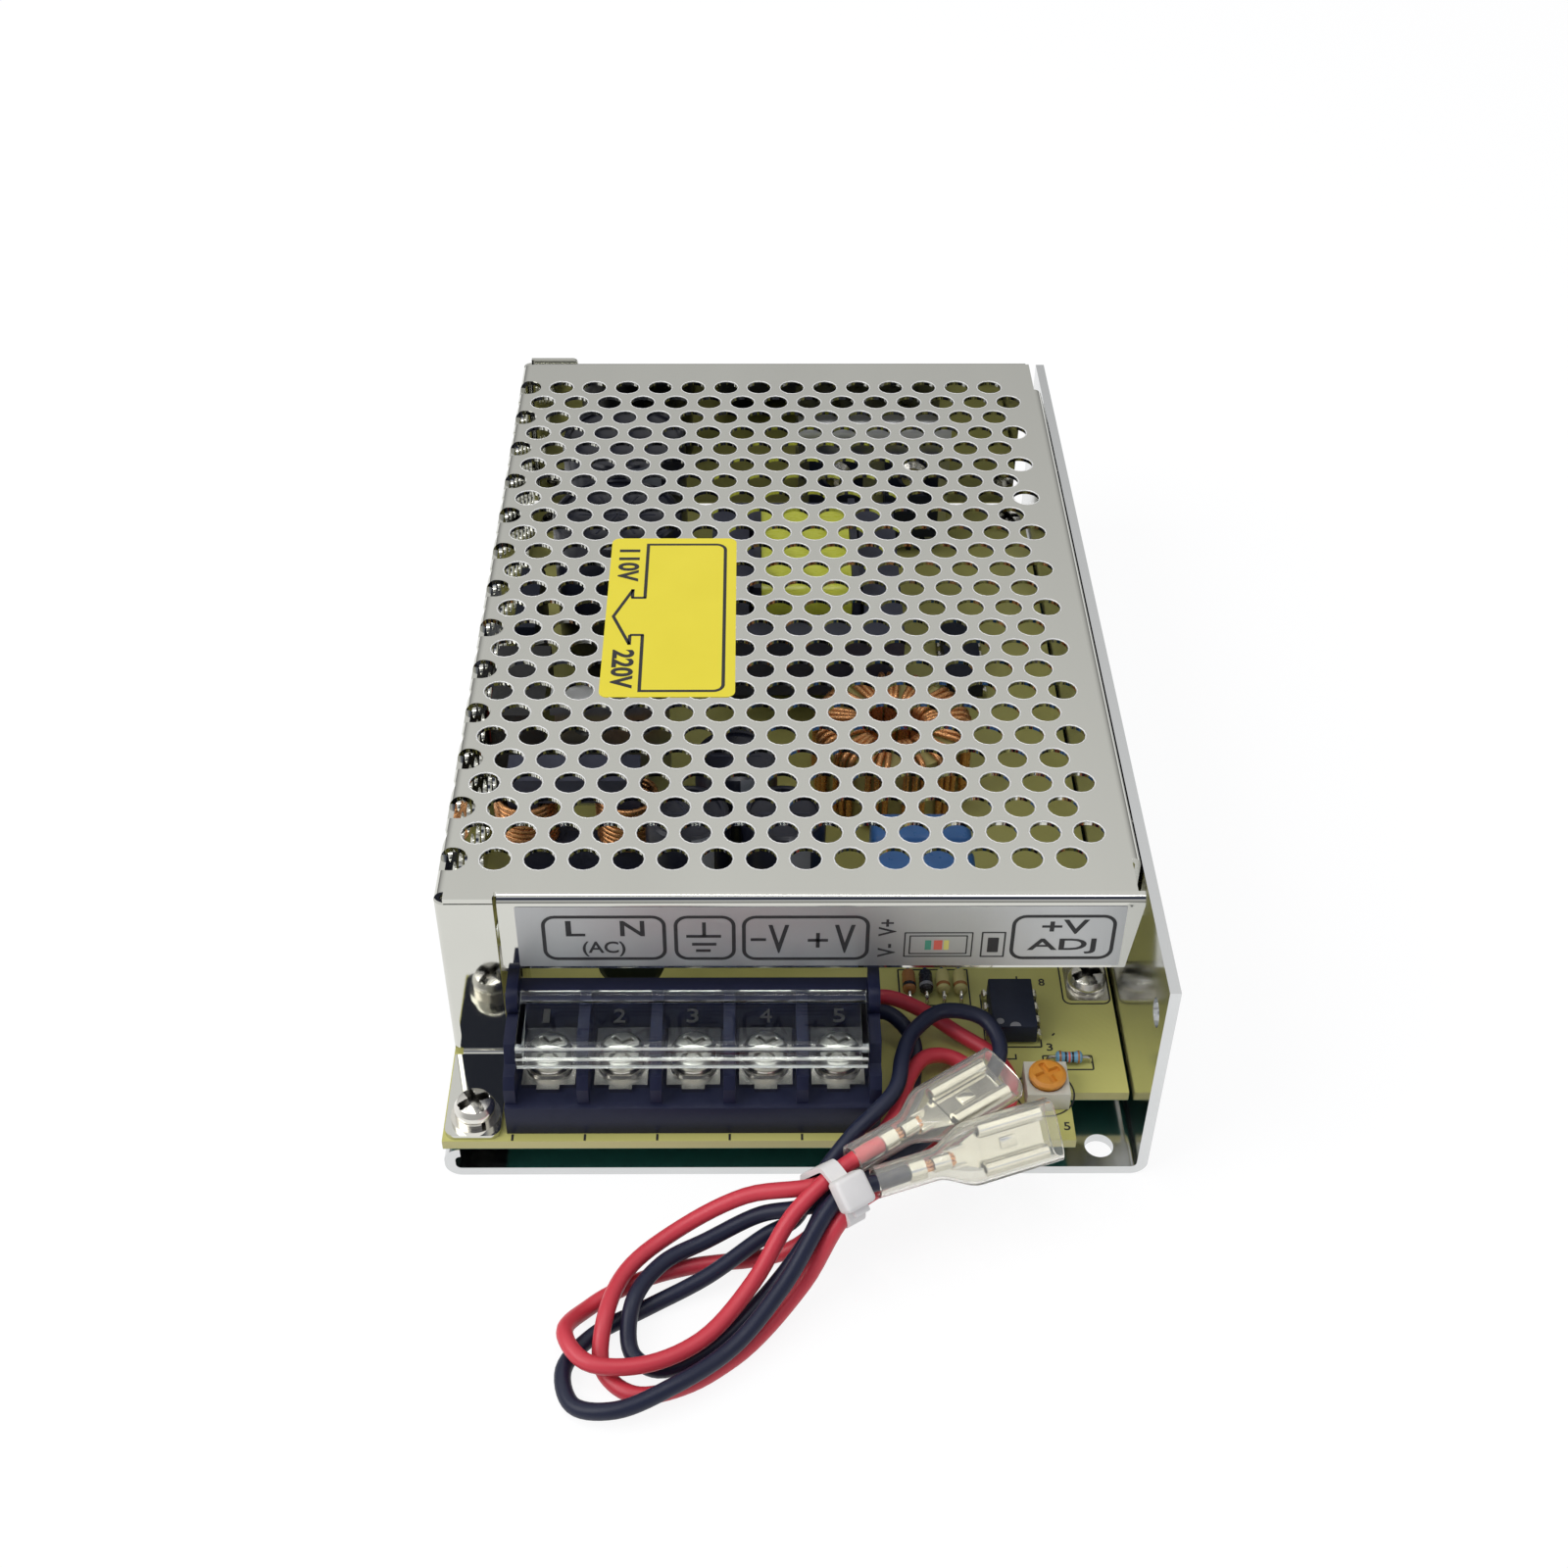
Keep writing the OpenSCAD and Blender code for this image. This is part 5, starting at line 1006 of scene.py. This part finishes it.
def makeTerminalLabel(rows, s):
    label = newLabel("terminalLabel", lipPlane, rows["sheet"], "labelFoil", s)
    for box in rows["frames"]:
        label.frame(*box, rows["round"], s["line"])
    for row in rows["words"]:
        label.words(*row)
    for bar in rows["bars"]:
        label.line(bar, s["line"])
    for window in rows["windows"]:
        label.frame(*window)
    for patch, finish in rows["patches"]:
        label.shape(roundedBox(*patch), finish=finish)
    return label.lay("case", "cover")


def makeSelectorSticker(rows, s):
    sticker = newLabel("selectorSticker", topPlane, rows["sheet"], "stickerYellow", s)
    for line in (rows["edge"], *rows["arrow"]):
        sticker.line(line, s["line"])
    for text, box in rows["words"]:
        sticker.words(text, box, -90)
    return sticker.lay("case", "cover")


makeTerminalLabel(terminalRows, labelSettings)
makeSelectorSticker(stickerRows, stickerSettings)
print("labels made")

# screws, and the clear flap with its numbers
terminalSettings = {
    "places": [-33.95, -24.05, -14.15, -4.25, 5.65], "y": -70.0, "seat": 13.8, "turn": 38,
    "head": (6.0, 2.0), "slot": (0.7, 3.8, 0.5), "shank": (5.0, 3.0), "dome": 0.2,
    "cup": (-3.2, -3.2, 3.2, 3.2, 2.2, 8), "cupFrom": -0.8, "cupTo": -0.42,
    "washer": [(1.7, -0.36), (3.0, -0.36), (3.08, -0.18), (3.0, 0.0), (1.7, 0.0), (1.7, -0.36)],
}
boardScrewSettings = {
    "places": [(-44.1, 70.0, boardTop), (43.2, -50.0, boardTop), (43.2, 70.0, boardTop)], "turn": 20,
    "head": (5.6, 2.2), "slot": (1.1, 4.3, 1.5), "shank": (4.0, 3.0),
    "foot": (-44.1, -75.7, 9.4), "footTurn": 30, "footShank": (5.4, 3.0),
}


def makeTerminalScrews(s):
    head = crossHead(s["head"], s["slot"], s["shank"], s["dome"])
    points = [(x, s["y"], s["seat"]) for x in s["places"]]
    screws = Piece("terminalScrews").repeat(head, points, "terminalNickel", math.radians(s["turn"]))
    screws.lay("case", "bright_screw", "terminal_screws")
    clamps = Piece("terminalClamps")
    clamps.repeat(prism(roundedBox(*s["cup"]), s["cupFrom"], s["cupTo"]), points, "nickelPlate")
    clamps.repeat(lathe(s["washer"]), points, "nickelPlate")
    clamps.lay("case", "contact_metal", "terminal_clamps")


def makeBoardScrews(s):
    head = crossHead(s["head"], s["slot"], s["shank"])
    screws = Piece("boardScrews").repeat(head, s["places"], "screwNickel", math.radians(s["turn"]))
    screws.lay("case", "bright_screw", "board_screws")
    foot = crossHead(s["head"], s["slot"], s["footShank"])
    place = at(*s["foot"]) @ turned(s["footTurn"], "Z")
    Piece("footScrew").take(foot, "screwNickel", place).lay("case", "bright_screw", "foot_screw")


flapSettings = {
    "left": -37.8, "right": 9.5, "hinge": (-65.6, 20.85), "barrel": 1.0, "front": -75.3, "top": 21.3,
    "thick": 0.9, "low": 17.2, "bead": (19.25, 0.45), "bend": 0.5, "round": 0.3, "gap": 0.01,
    "cheek": 0.8, "cheekFoot": 2, "cheekEnd": 1, "pin": 0.7, "pinEdge": 0.1, "pinEnds": (-39.7, 11.4),
    "numberY": -69.4, "numberHalf": (0.8, 1.2), "oneHalf": 0.45, "numberRise": 0.14,
}


def flapOutline(f):  # the sheet on edge: bend, bead, lower edge, inner bend, hinge barrel
    front, top, thick, low = f["front"], f["top"], f["thick"], f["low"]
    bend, edge, (beadZ, beadR) = f["bend"], f["round"], f["bead"]
    dip = math.degrees(math.asin((f["hinge"][1] - (top - thick)) / f["barrel"]))
    rise = math.degrees(math.asin((top - f["hinge"][1]) / f["barrel"]))
    return [*arc((front + bend, top - bend), bend, 90, 180), *arc((front, beadZ), beadR, 90, 270),
            *arc((front + edge, low + edge), edge, 180, 270, steps=5),
            *arc((front + thick - edge, low + edge), edge, 270, 360, steps=5),
            *arc((front + thick + bend, top - thick - bend), bend, 180, 90, steps=5),
            *arc(f["hinge"], f["barrel"], 180 + dip, 540 - rise, steps=26)]


def makeFlap(f):
    front, top, thick, low, gap = f["front"], f["top"], f["thick"], f["low"], f["gap"]
    flap = Piece("terminalFlap")
    flap.take(prism(flapOutline(f), f["left"] + gap, f["right"] - gap), "flapClear", acrossX)
    flap.finishes.append("flapEdge")
    for face in flap.mesh.faces:  # painted highlight: the ends, moulded bend, bead and lower edge take a paler, half frosted finish, partly real frosting
        middle, facing = face.calc_center_median(), face.normal
        end = abs(facing.x) > 0.5
        bend = middle.z > top - f["bend"] and facing.y < -0.3 and facing.z > 0.3
        bead = middle.y < front - 0.1 and facing.z > 0.2
        if end or middle.y < front + thick and (bend or bead or middle.z < low + f["round"]):
            face.material_index = 1
    cheek = [(front + thick, low), (front + f["cheekFoot"], low),
             (f["hinge"][0] - f["cheekEnd"], top - thick), (front + thick, top - thick)]
    for x0, x1 in ((f["left"], f["left"] + f["cheek"]), (f["right"] - f["cheek"], f["right"])):
        flap.take(prism(cheek, x0 + gap, x1 - gap), "flapCheek", acrossX)
    r, edge = f["pin"], f["pinEdge"]
    for x0, x1 in ((f["pinEnds"][0], f["left"]), (f["right"], f["pinEnds"][1])):
        pin = [(0, x0), (r - edge, x0), (r, x0 + edge), (r, x1 - edge), (r - edge, x1), (0, x1)]
        flap.take(lathe(pin, steps=24), "flapClear", at(0, *f["hinge"]) @ turned(90, "Y"))
    numbers = Print("flapNumbers", at(0, 0, top), 0.0, f["numberRise"], bold=0.0)
    for number, x in enumerate(terminalSettings["places"], 1):
        wide, high = f["numberHalf"]
        wide = f["oneHalf"] if number == 1 else wide
        box = (x - wide, f["numberY"] - high, x + wide, f["numberY"] + high)
        numbers.words(str(number), box, finish="digitFrost")
    numbers.lay("flap", "clear_flap")
    flap.lay("flap", "clear_flap", "terminal_flap")


soften("terminal_body", "terminalBlock", "blockBlack")
soften("trimmer_base", "trimmerBase", "trimmerCream")
makeTerminalScrews(terminalSettings)
makeBoardScrews(boardScrewSettings)
makeFlap(flapSettings)
print("terminals made")

# trimmer, chips and small parts on the front of the board
trimmerSettings = {"place": (34.8, -71.0, 10.5), "turn": 25, "cap": (5.2, 0.9), "slot": (0.8, 3.6, 0.5),
                   "stem": (1.9, 4.4), "dome": 0.05}


def makeTrimmer(s):
    rotor = crossHead(s["cap"], s["slot"], s["stem"], s["dome"])
    place = at(*s["place"]) @ turned(s["turn"], "Z")
    turning = Piece("trimmerRotor").take(rotor, "trimmerOrange", place)
    turning.lay("trimmer", "trimmer_rotor", "trimmer_rotor")


chipRows = {
    "control_chip": {"name": "controlChip", "place": (31.3, -57.5, boardTop), "body": (6.6, 9.6, 3.3),
                     "pins": 8, "finish": "chipBlack", "slot": "chip_black"},
    "driver_chip": {"name": "driverChip", "place": (30.5, 26.0, boardTop), "body": (6.6, 19.4, 3.3),
                    "pins": 16, "finish": "chipBlack", "slot": "chip_black"},
    "optocoupler": {"name": "optocoupler", "place": (-9.5, 0.0, boardTop), "body": (6.4, 4.6, 3.4),
                    "pins": 4, "finish": "optoWhite", "slot": "optocoupler"},
}
chipSettings = {
    "lift": 0.6, "edge": 0.14, "topDraft": (0.95, 0.97), "footDraft": (0.97, 0.985), "pitch": 2.54,
    "dot": [(0, 0), (0.5, 0), (0.56, 0.02), (0.5, 0.03), (0.42, 0.015), (0, 0.015)], "dotInset": 1.2,
    "notch": 0.8, "notchPlace": 0.485, "notchInset": 0.1, "notchThick": 0.02,
    "legs": [  # outline of the leg and of its shoulder, and half their width
        ([(-0.6, 1.75), (0.45, 1.75), (0.7, 1.5), (0.7, 0.0), (0.45, 0.0), (0.45, 1.38), (0.35, 1.45),
          (-0.6, 1.45)], 0.3),
        ([(0.2, 1.78), (0.48, 1.78), (0.73, 1.5), (0.73, 0.9), (0.42, 0.9), (0.42, 1.36),
          (0.2, 1.42)], 0.62)],
}
upright = Matrix(((1, 0, 0, 0), (0, 0, 1, 0), (0, 1, 0, 0), (0, 0, 0, 1)))  # outline in XZ, raised along Y


def makeChip(node, row, s):
    wide, long, high = row["body"]
    x, y, z = row["place"]
    place, lift, top = at(x, y, z), s["lift"], s["lift"] + high
    chip = Piece(row["name"])
    part = block((-wide / 2, -long / 2, lift), (wide / 2, long / 2, top), 0.0)
    for vert in part.verts:  # draft of the moulding towards the top and the bottom
        draft = s["topDraft"] if vert.co.z > top / 2 else s["footDraft"]
        vert.co.x *= draft[0]
        vert.co.y *= draft[1]
    breakEdges(part, part.edges[:], s["edge"])
    chip.take(part, row["finish"], place)
    dotPlace = at(-wide / 2 + s["dotInset"], -long / 2 + s["dotInset"], top)
    chip.take(lathe(s["dot"], steps=24), "markGrey", place @ dotPlace)
    notch = arc((0, -long * s["notchPlace"] + s["notchInset"]), s["notch"], 0, 180, steps=10)
    chip.take(prism(notch, top, top + s["notchThick"]), "markGrey", place)
    count = row["pins"] // 2
    for sign, turn in ((1, 0.0), (-1, math.pi)):
        points = [(x + sign * (wide / 2), y + (i - (count - 1) / 2) * s["pitch"], z) for i in range(count)]
        for outline, half in s["legs"]:
            chip.repeat(moved(prism(outline, -half, half), upright), points, "nickelPlate", turn)
    return chip.lay("case", row["slot"], node)


diodeSettings = {
    "first": (16.9, -51.0, boardTop), "pitch": 2.5, "wire": (6.4, 1.3, 0.6),
    "body": [(0, -2), (0.6, -1.98), (0.92, -1.75), (1.0, -1.4), (1.0, 1.4), (0.92, 1.75), (0.6, 1.98),
             (0, 2)],
    "band": (0.9, 1.02, -1.3, -0.7),
    "finishes": [("diodeAmber", "diodeBlack"), ("diodeBlack", "markGrey"), ("coreYellow", "diodeAmber"),
                 ("coreYellow", "diodeAmber")],
}
resistorSettings = {
    "place": (38.7, -65.5, boardTop), "wire": (6.2, 1.2, 0.5),
    "bandHalf": 0.15, "bandDeep": 0.1, "bandRise": 0.02,
    "body": [(0, -1.9), (0.55, -1.86), (0.84, -1.65), (0.9, -1.3), (0.84, -1.0), (0.74, -0.8), (0.74, 0.8),
             (0.84, 1.0), (0.9, 1.3), (0.84, 1.65), (0.55, 1.86), (0, 1.9)],
    "bands": [(-1.3, 0.9, "diodeAmber"), (-0.5, 0.74, "diodeBlack"), (0.0, 0.74, "printRed"),
              (0.5, 0.74, "diodeBlack"), (1.3, 0.9, "diodeAmber")],
}


def axialWire(span, height, width, bend=0.7):  # wire of an axial part along X, bent down to the board
    line = [(-span / 2, 0, 0.0), (-span / 2, 0, height - bend)]
    line += [(-span / 2 + bend - bend * math.cos(a), 0, height - bend + bend * math.sin(a))
             for a in (math.pi / 6, math.pi / 3, math.pi / 2)]
    return tube(line + [(-x, y, z) for x, y, z in line[::-1]], width / 2, sides=8)


def addAxial(piece, place, s, finish, bands):  # wire, turned body and colour bands
    piece.take(axialWire(*s["wire"]), "nickelPlate", place)
    lying = place @ at(0, 0, s["wire"][1]) @ turned(90, "Y")
    piece.take(lathe(s["body"], steps=28), finish, lying)
    for band, bandFinish in bands:
        piece.take(lathe(hoop(*band), steps=28), bandFinish, lying)


def makeDiodes(s):
    diodes = Piece("signalDiodes")
    x, y, z = s["first"]
    for i, (body, band) in enumerate(s["finishes"]):
        place = at(x + s["pitch"] * i, y, z) @ turned(90, "Z")
        addAxial(diodes, place, s, body, [(s["band"], band)])
    return diodes.lay("case", "diode", "signal_diodes")


def makeResistor(s):
    resistor = Piece("blueResistor")
    deep, rise, half = s["bandDeep"], s["bandRise"], s["bandHalf"]
    bands = [((r - deep, r + rise, x - half, x + half), finish) for x, r, finish in s["bands"]]
    addAxial(resistor, at(*s["place"]), s, "resistorBlue", bands)
    return resistor.lay("case", "resistor_blue", "blue_resistor")


makeTrimmer(trimmerSettings)
for node, row in chipRows.items():
    makeChip(node, row, chipSettings)
makeDiodes(diodeSettings)
makeResistor(resistorSettings)

boardRows = {
    "thick": 0.03, "line": 0.24, "ring": 4.2, "ringTurn": (0, 352, 44), "numberHalf": (0.45, 0.7),
    "tick": [(-0.16, -0.55), (0.16, -0.55), (0.16, 0.55), (-0.16, 0.55)],
    "ticks": [(-38.9 + 9.9 * i, -78.66, boardTop) for i in range(6)],
    "frames": [(15.4, -54.7, 25.9, -47.3, 0.2), (39.3, -54.4, 46.4, -45.8, 1.2),
               (35.1, -66.9, 42.3, -64.1, 0.3), (27.2, -62.7, 35.4, -52.3, 0.3)],
    "lines": [[(29.2, -63.6), (29.2, -64.8), (31.4, -64.8), (31.4, -63.9)], [(37.0, -60.4), (37.4, -60.0)],
              [(17.6, -56.4), (24.0, -56.4)], [(30.0, -50.2), (33.0, -50.2), (33.0, -48.8)]],
    "numbers": [("3", 36.4, -62.6), ("5", 37.2, -76.9), ("8", 36.6, -50.0)],
    "pad": (40.0, -53.7, 46.3, -46.5, 0.9), "eyelets": [(8.5, -57.5, boardTop), (8.5, -60.5, boardTop)],
    "eyelet": [(1.15, 0), (1.75, 0), (1.7, 0.12), (1.35, 0.3), (1.15, 0.3), (1.15, 0)],
}


def makeBoardPrint(b):
    marks = Print("boardPrint", None, boardTop, boardTop + b["thick"])
    marks.repeat(prism(b["tick"], 0.0, b["thick"]), b["ticks"], "printBlack")
    for box in b["frames"]:
        marks.frame(*box, b["line"])
    for line in b["lines"]:
        marks.line(line, b["line"])
    around, reach = trimmerSettings["place"][:2], b["ring"]
    outer, inner = (arc(around, radius, *b["ringTurn"]) for radius in (reach, reach - b["line"]))
    marks.shape(outer, [inner])
    wide, high = b["numberHalf"]
    for number, x, y in b["numbers"]:
        marks.words(number, (x - wide, y - high, x + wide, y + high))
    marks.shape(roundedBox(*b["pad"]), finish="nickelPlate")
    marks.repeat(lathe(b["eyelet"], steps=24), b["eyelets"], "nickelPlate")
    return marks.lay("case", "main_board")


makeBoardPrint(boardRows)
print("front of the board made")

# parts under the cover
canRows = {
    "bulkCapacitors": {"node": "bulk_capacitors", "size": (22.0, 28.0),
                       "places": [(-29.0, 57.0), (-29.0, 32.5)]},
    "outputCapacitors": {"node": "output_capacitors", "size": (12.5, 22.0),
                         "places": [(-15.5, -36.5), (-1.5, -36.5), (-8.5, -23.5)]},
}
canShape = {
    "steps": 56, "foot": 0.3, "grooveDeep": 0.45, "groove": (0.07, 0.1, 0.13),  # as shares of the height
    "roll": [(0, 0.9), (0.25, 0.35), (0.8, 0.05), (1.3, 0.1), (1.3, 0.5)],  # inwards, and down from the top
    "vents": (0, 60, 120), "ventReach": 0.6, "ventHalf": 0.2, "ventDown": (0.6, 0.42), "ventEdge": 0.06,
    "stripe": 1.2, "stripeHalf": 0.3,  # angles about the can, in radians
}


def canProfile(r, high, c):  # foot, neck groove, rolled top and sunk lid
    low, middle, upper = (high * share for share in c["groove"])
    foot = [(0, 0), (r - c["foot"], 0), (r, c["foot"]), (r, low), (r - c["grooveDeep"], middle), (r, upper)]
    return foot + [(r - inward, high - down) for inward, down in c["roll"]] + [(0, high - c["roll"][-1][1])]


def makeCans(name, row, c):
    r, high = row["size"][0] / 2, row["size"][1]
    cans = Piece(name)
    for x, y in row["places"]:
        place = at(x, y, boardTop)
        cans.take(lathe(canProfile(r, high, c), c["steps"]), "canSleeve", place)
        reach, half = r * c["ventReach"], c["ventHalf"]
        low, top = (high - down for down in c["ventDown"])
        for turn in c["vents"]:  # pressed lines of the lid
            vent = block((-reach, -half, low), (reach, half, top), c["ventEdge"])
            cans.take(vent, "bobbinBlack", place @ turned(turn, "Z"))
    laid = cans.lay("case", "can", row["node"])
    values = []
    for face in laid.data.polygons:
        ways = [(face.center.x - x * mm, face.center.y - y * mm) for x, y in row["places"]]
        x, y = min(ways, key=lambda way: math.hypot(*way))
        off = abs(math.atan2(y, x) + c["stripe"])
        values.append(1.0 if off < c["stripeHalf"] and abs(face.normal.z) < 0.5 else 0.0)
    laid.data.attributes.new("stripe", "FLOAT", "FACE").data.foreach_set("value", values)


windingRows = {
    "chokeWinding": {
        "node": "choke_winding", "tree": "turns", "points": [(16.5, -5.0, 14.0)] * 39,
        "values": {"Strands": 3, "Bundle": math.radians(27.7), "Spread": math.radians(6.6),
                   "Middle": 8.75 * mm, "Width": 7.4 * mm, "Height": 12.9 * mm, "Wire": 1.0 * mm}},
    "lineChokeWindings": {
        "node": "line_choke_windings", "tree": "coils",
        "points": [(-40.75, -24.5, 14.0), (-25.25, -24.5, 14.0)],
        "values": {"Turns": 8.5, "Radius": 4.45 * mm, "Height": 8.0 * mm, "Wire": 0.95 * mm}},
}


def makeWinding(name, row):
    made = runTree(trees[row["tree"]], row["points"], {**row["values"], "Finish": finishes["copperWire"]})
    Piece(name).take(made, "copperWire").lay("case", "copper_wire", row["node"], sharp=60)


def leg(x, y, top, radius):
    return tube([(x, y, boardTop), (x, y, top)], radius, sides=8)


blueSettings = {"x": 19.0, "rows": (-41.5, -34.0), "low": (-7.5, -3.25, 1.0), "high": (7.5, 3.25, 17.0),
                "edge": 1.6, "legs": (-5, 5), "leg": (9.0, 0.4)}  # top and radius of a leg
limiterSettings = {
    "place": (-23.5, -52.5, 15.0), "legs": (-2.5, 2.5), "leg": (12.0, 0.45),
    "disc": [(0, -2), (3.9, -2), (4.7, -1.5), (5, -0.6), (5, 0.6), (4.7, 1.5), (3.9, 2), (0, 2)],
}
fuseSettings = {
    "place": (-42.0, -43.5, 11.1), "glass": (2.1, 2.35, -9.6, 9.6),
    "cap": [(0, 10), (2.3, 10), (2.6, 9.7), (2.6, 5.2), (2.45, 5.0), (2.36, 5.0), (2.36, 9.6), (0, 9.6)],
    "wire": [(-42.0, -53.0, 10.3), (-42.0, -43.5, 11.3), (-42.0, -34.0, 11.9)], "wireRadius": 0.15,
}


def makeBlueCapacitors(s):
    caps = Piece("blueCapacitors")
    for y in s["rows"]:
        caps.take(block(s["low"], s["high"], s["edge"], steps=5), "capBlue", at(s["x"], y, boardTop))
        for x in s["legs"]:
            caps.take(leg(s["x"] + x, y, *s["leg"]), "nickelPlate")
    return caps.lay("case", "blue_cap", "blue_capacitors")


def makeLimiter(s):
    limiter = Piece("inrushLimiter")
    limiter.take(lathe(s["disc"], steps=40), "limiterGreen", at(*s["place"]) @ turned(90, "X"))
    for x in s["legs"]:
        limiter.take(leg(s["place"][0] + x, s["place"][1], *s["leg"]), "nickelPlate")
    return limiter.lay("case", "thermistor", "inrush_limiter")


def makeFuse(s):
    fuse = Piece("fuse")
    lying = at(*s["place"]) @ turned(90, "X")
    fuse.take(lathe(hoop(*s["glass"]), steps=32), "fuseGlass", lying)
    for sign in (-1, 1):
        fuse.take(lathe([(r, sign * x) for r, x in s["cap"]], steps=32), "nickelPlate", lying)
    fuse.take(tube(s["wire"], s["wireRadius"], sides=6), "nickelPlate")
    return fuse.lay("case", "fuse", "fuse")


for canName, row in canRows.items():
    makeCans(canName, row, canShape)
for windingName, row in windingRows.items():
    makeWinding(windingName, row)
makeBlueCapacitors(blueSettings)
makeLimiter(limiterSettings)
makeFuse(fuseSettings)
print("inner parts made")

# floor, sky and lamps
stageSettings = {
    "floor": 6.0, "floorZ": -0.05, "floorColour": (0.82, 0.82, 0.82), "white": 0.82, "glow": 1.08,
    "fill": 0.5, "horizon": 0.22, "slope": 0.86, "steepest": 0.74,
    "frontShade": 0.93, "shadeTint": (0.6, 0.68, 1.05),  # a dark front, as the photograph's folds show it
    "shadeFront": (-0.3, 0.25), "shadeAbove": (0.5, 0.15),
}
lampSettings = {
    "keyLamp": {"place": (-0.8, -0.3, 0.75), "size": (0.8, 0.8), "power": 6.0},
    "stripLamp": {"place": (-0.05, -0.05, 1.0), "size": (0.8, 0.06), "power": 1.7},
}
seen = ("Is Camera Ray", "Is Glossy Ray", "Is Transmission Ray")  # rays that show the background
lampAim = Vector((0, 0, 0.02))


def makeFloor(s):
    half = s["floor"] / 2
    sheet = bpy.data.meshes.new("floor")
    corners = [(-half, -half, 0), (half, -half, 0), (half, half, 0), (-half, half, 0)]
    sheet.from_pydata(corners, [], [(0, 1, 2, 3)])
    floor = linked("floor", sheet)
    floor.location.z = s["floorZ"] * mm
    paint = bpy.data.materials.new("floorWhite")
    paint.use_nodes = True
    graph = Graph(paint.node_tree)
    paint.node_tree.nodes.clear()
    camera, gloss, glass = graph.add("ShaderNodeLightPath", out=seen)
    matte = graph.add("ShaderNodeBsdfDiffuse", {"Color": (*s["floorColour"], 1.0)})
    glow = graph.add("ShaderNodeEmission", {"Color": (1, 1, 1, 1), "Strength": s["glow"]})
    share = graph.reckon("MAXIMUM", graph.reckon("MAXIMUM", camera, gloss), glass)
    both = graph.add("ShaderNodeMixShader", {0: share * s["white"], 1: matte, 2: glow})
    graph.join(both, graph.tree.nodes.new("ShaderNodeOutputMaterial").inputs["Surface"])
    sheet.materials.append(paint)


def makeSky(s):
    sky = bpy.data.worlds.new("studio")
    sky.use_nodes = True
    scene.world = sky
    graph = Graph(sky.node_tree)
    back = sky.node_tree.nodes["Background"]
    camera, gloss, glass = graph.add("ShaderNodeLightPath", out=seen)
    way = graph.add("ShaderNodeTexCoord", out="Generated")
    y, z = graph.add("ShaderNodeSeparateXYZ", {0: way}, (1, 2))
    height = graph.reckon("MAXIMUM", z, 0.0)
    (frontFrom, frontBand), (aboveFrom, aboveBand) = s["shadeFront"], s["shadeAbove"]
    shade = graph.clamp((frontFrom - y) / frontBand) * graph.clamp((height - aboveFrom) / aboveBand)
    dome = s["horizon"] + graph.reckon("MINIMUM", height, s["steepest"]) * s["slope"]
    dome = dome * (1 - shade * s["frontShade"])
    other = graph.reckon("MAXIMUM", 1 - camera - gloss - glass, 0.0)
    graph.join(camera + glass + gloss * dome + other * s["fill"], back.inputs["Strength"])
    graph.join(graph.mix(shade, (1, 1, 1), s["shadeTint"]), back.inputs["Color"])


def makeLamps(rows):
    for name, row in rows.items():
        lamp = bpy.data.lights.new(name, "AREA")
        lamp.shape, lamp.energy = "RECTANGLE", row["power"]
        lamp.size, lamp.size_y = row["size"]
        holder = linked(name, lamp)
        holder.location = row["place"]
        holder.rotation_euler = (lampAim - Vector(row["place"])).to_track_quat("-Z", "Y").to_euler()


makeFloor(stageSettings)
makeSky(stageSettings)
makeLamps(lampSettings)
print("stage and lamps set")
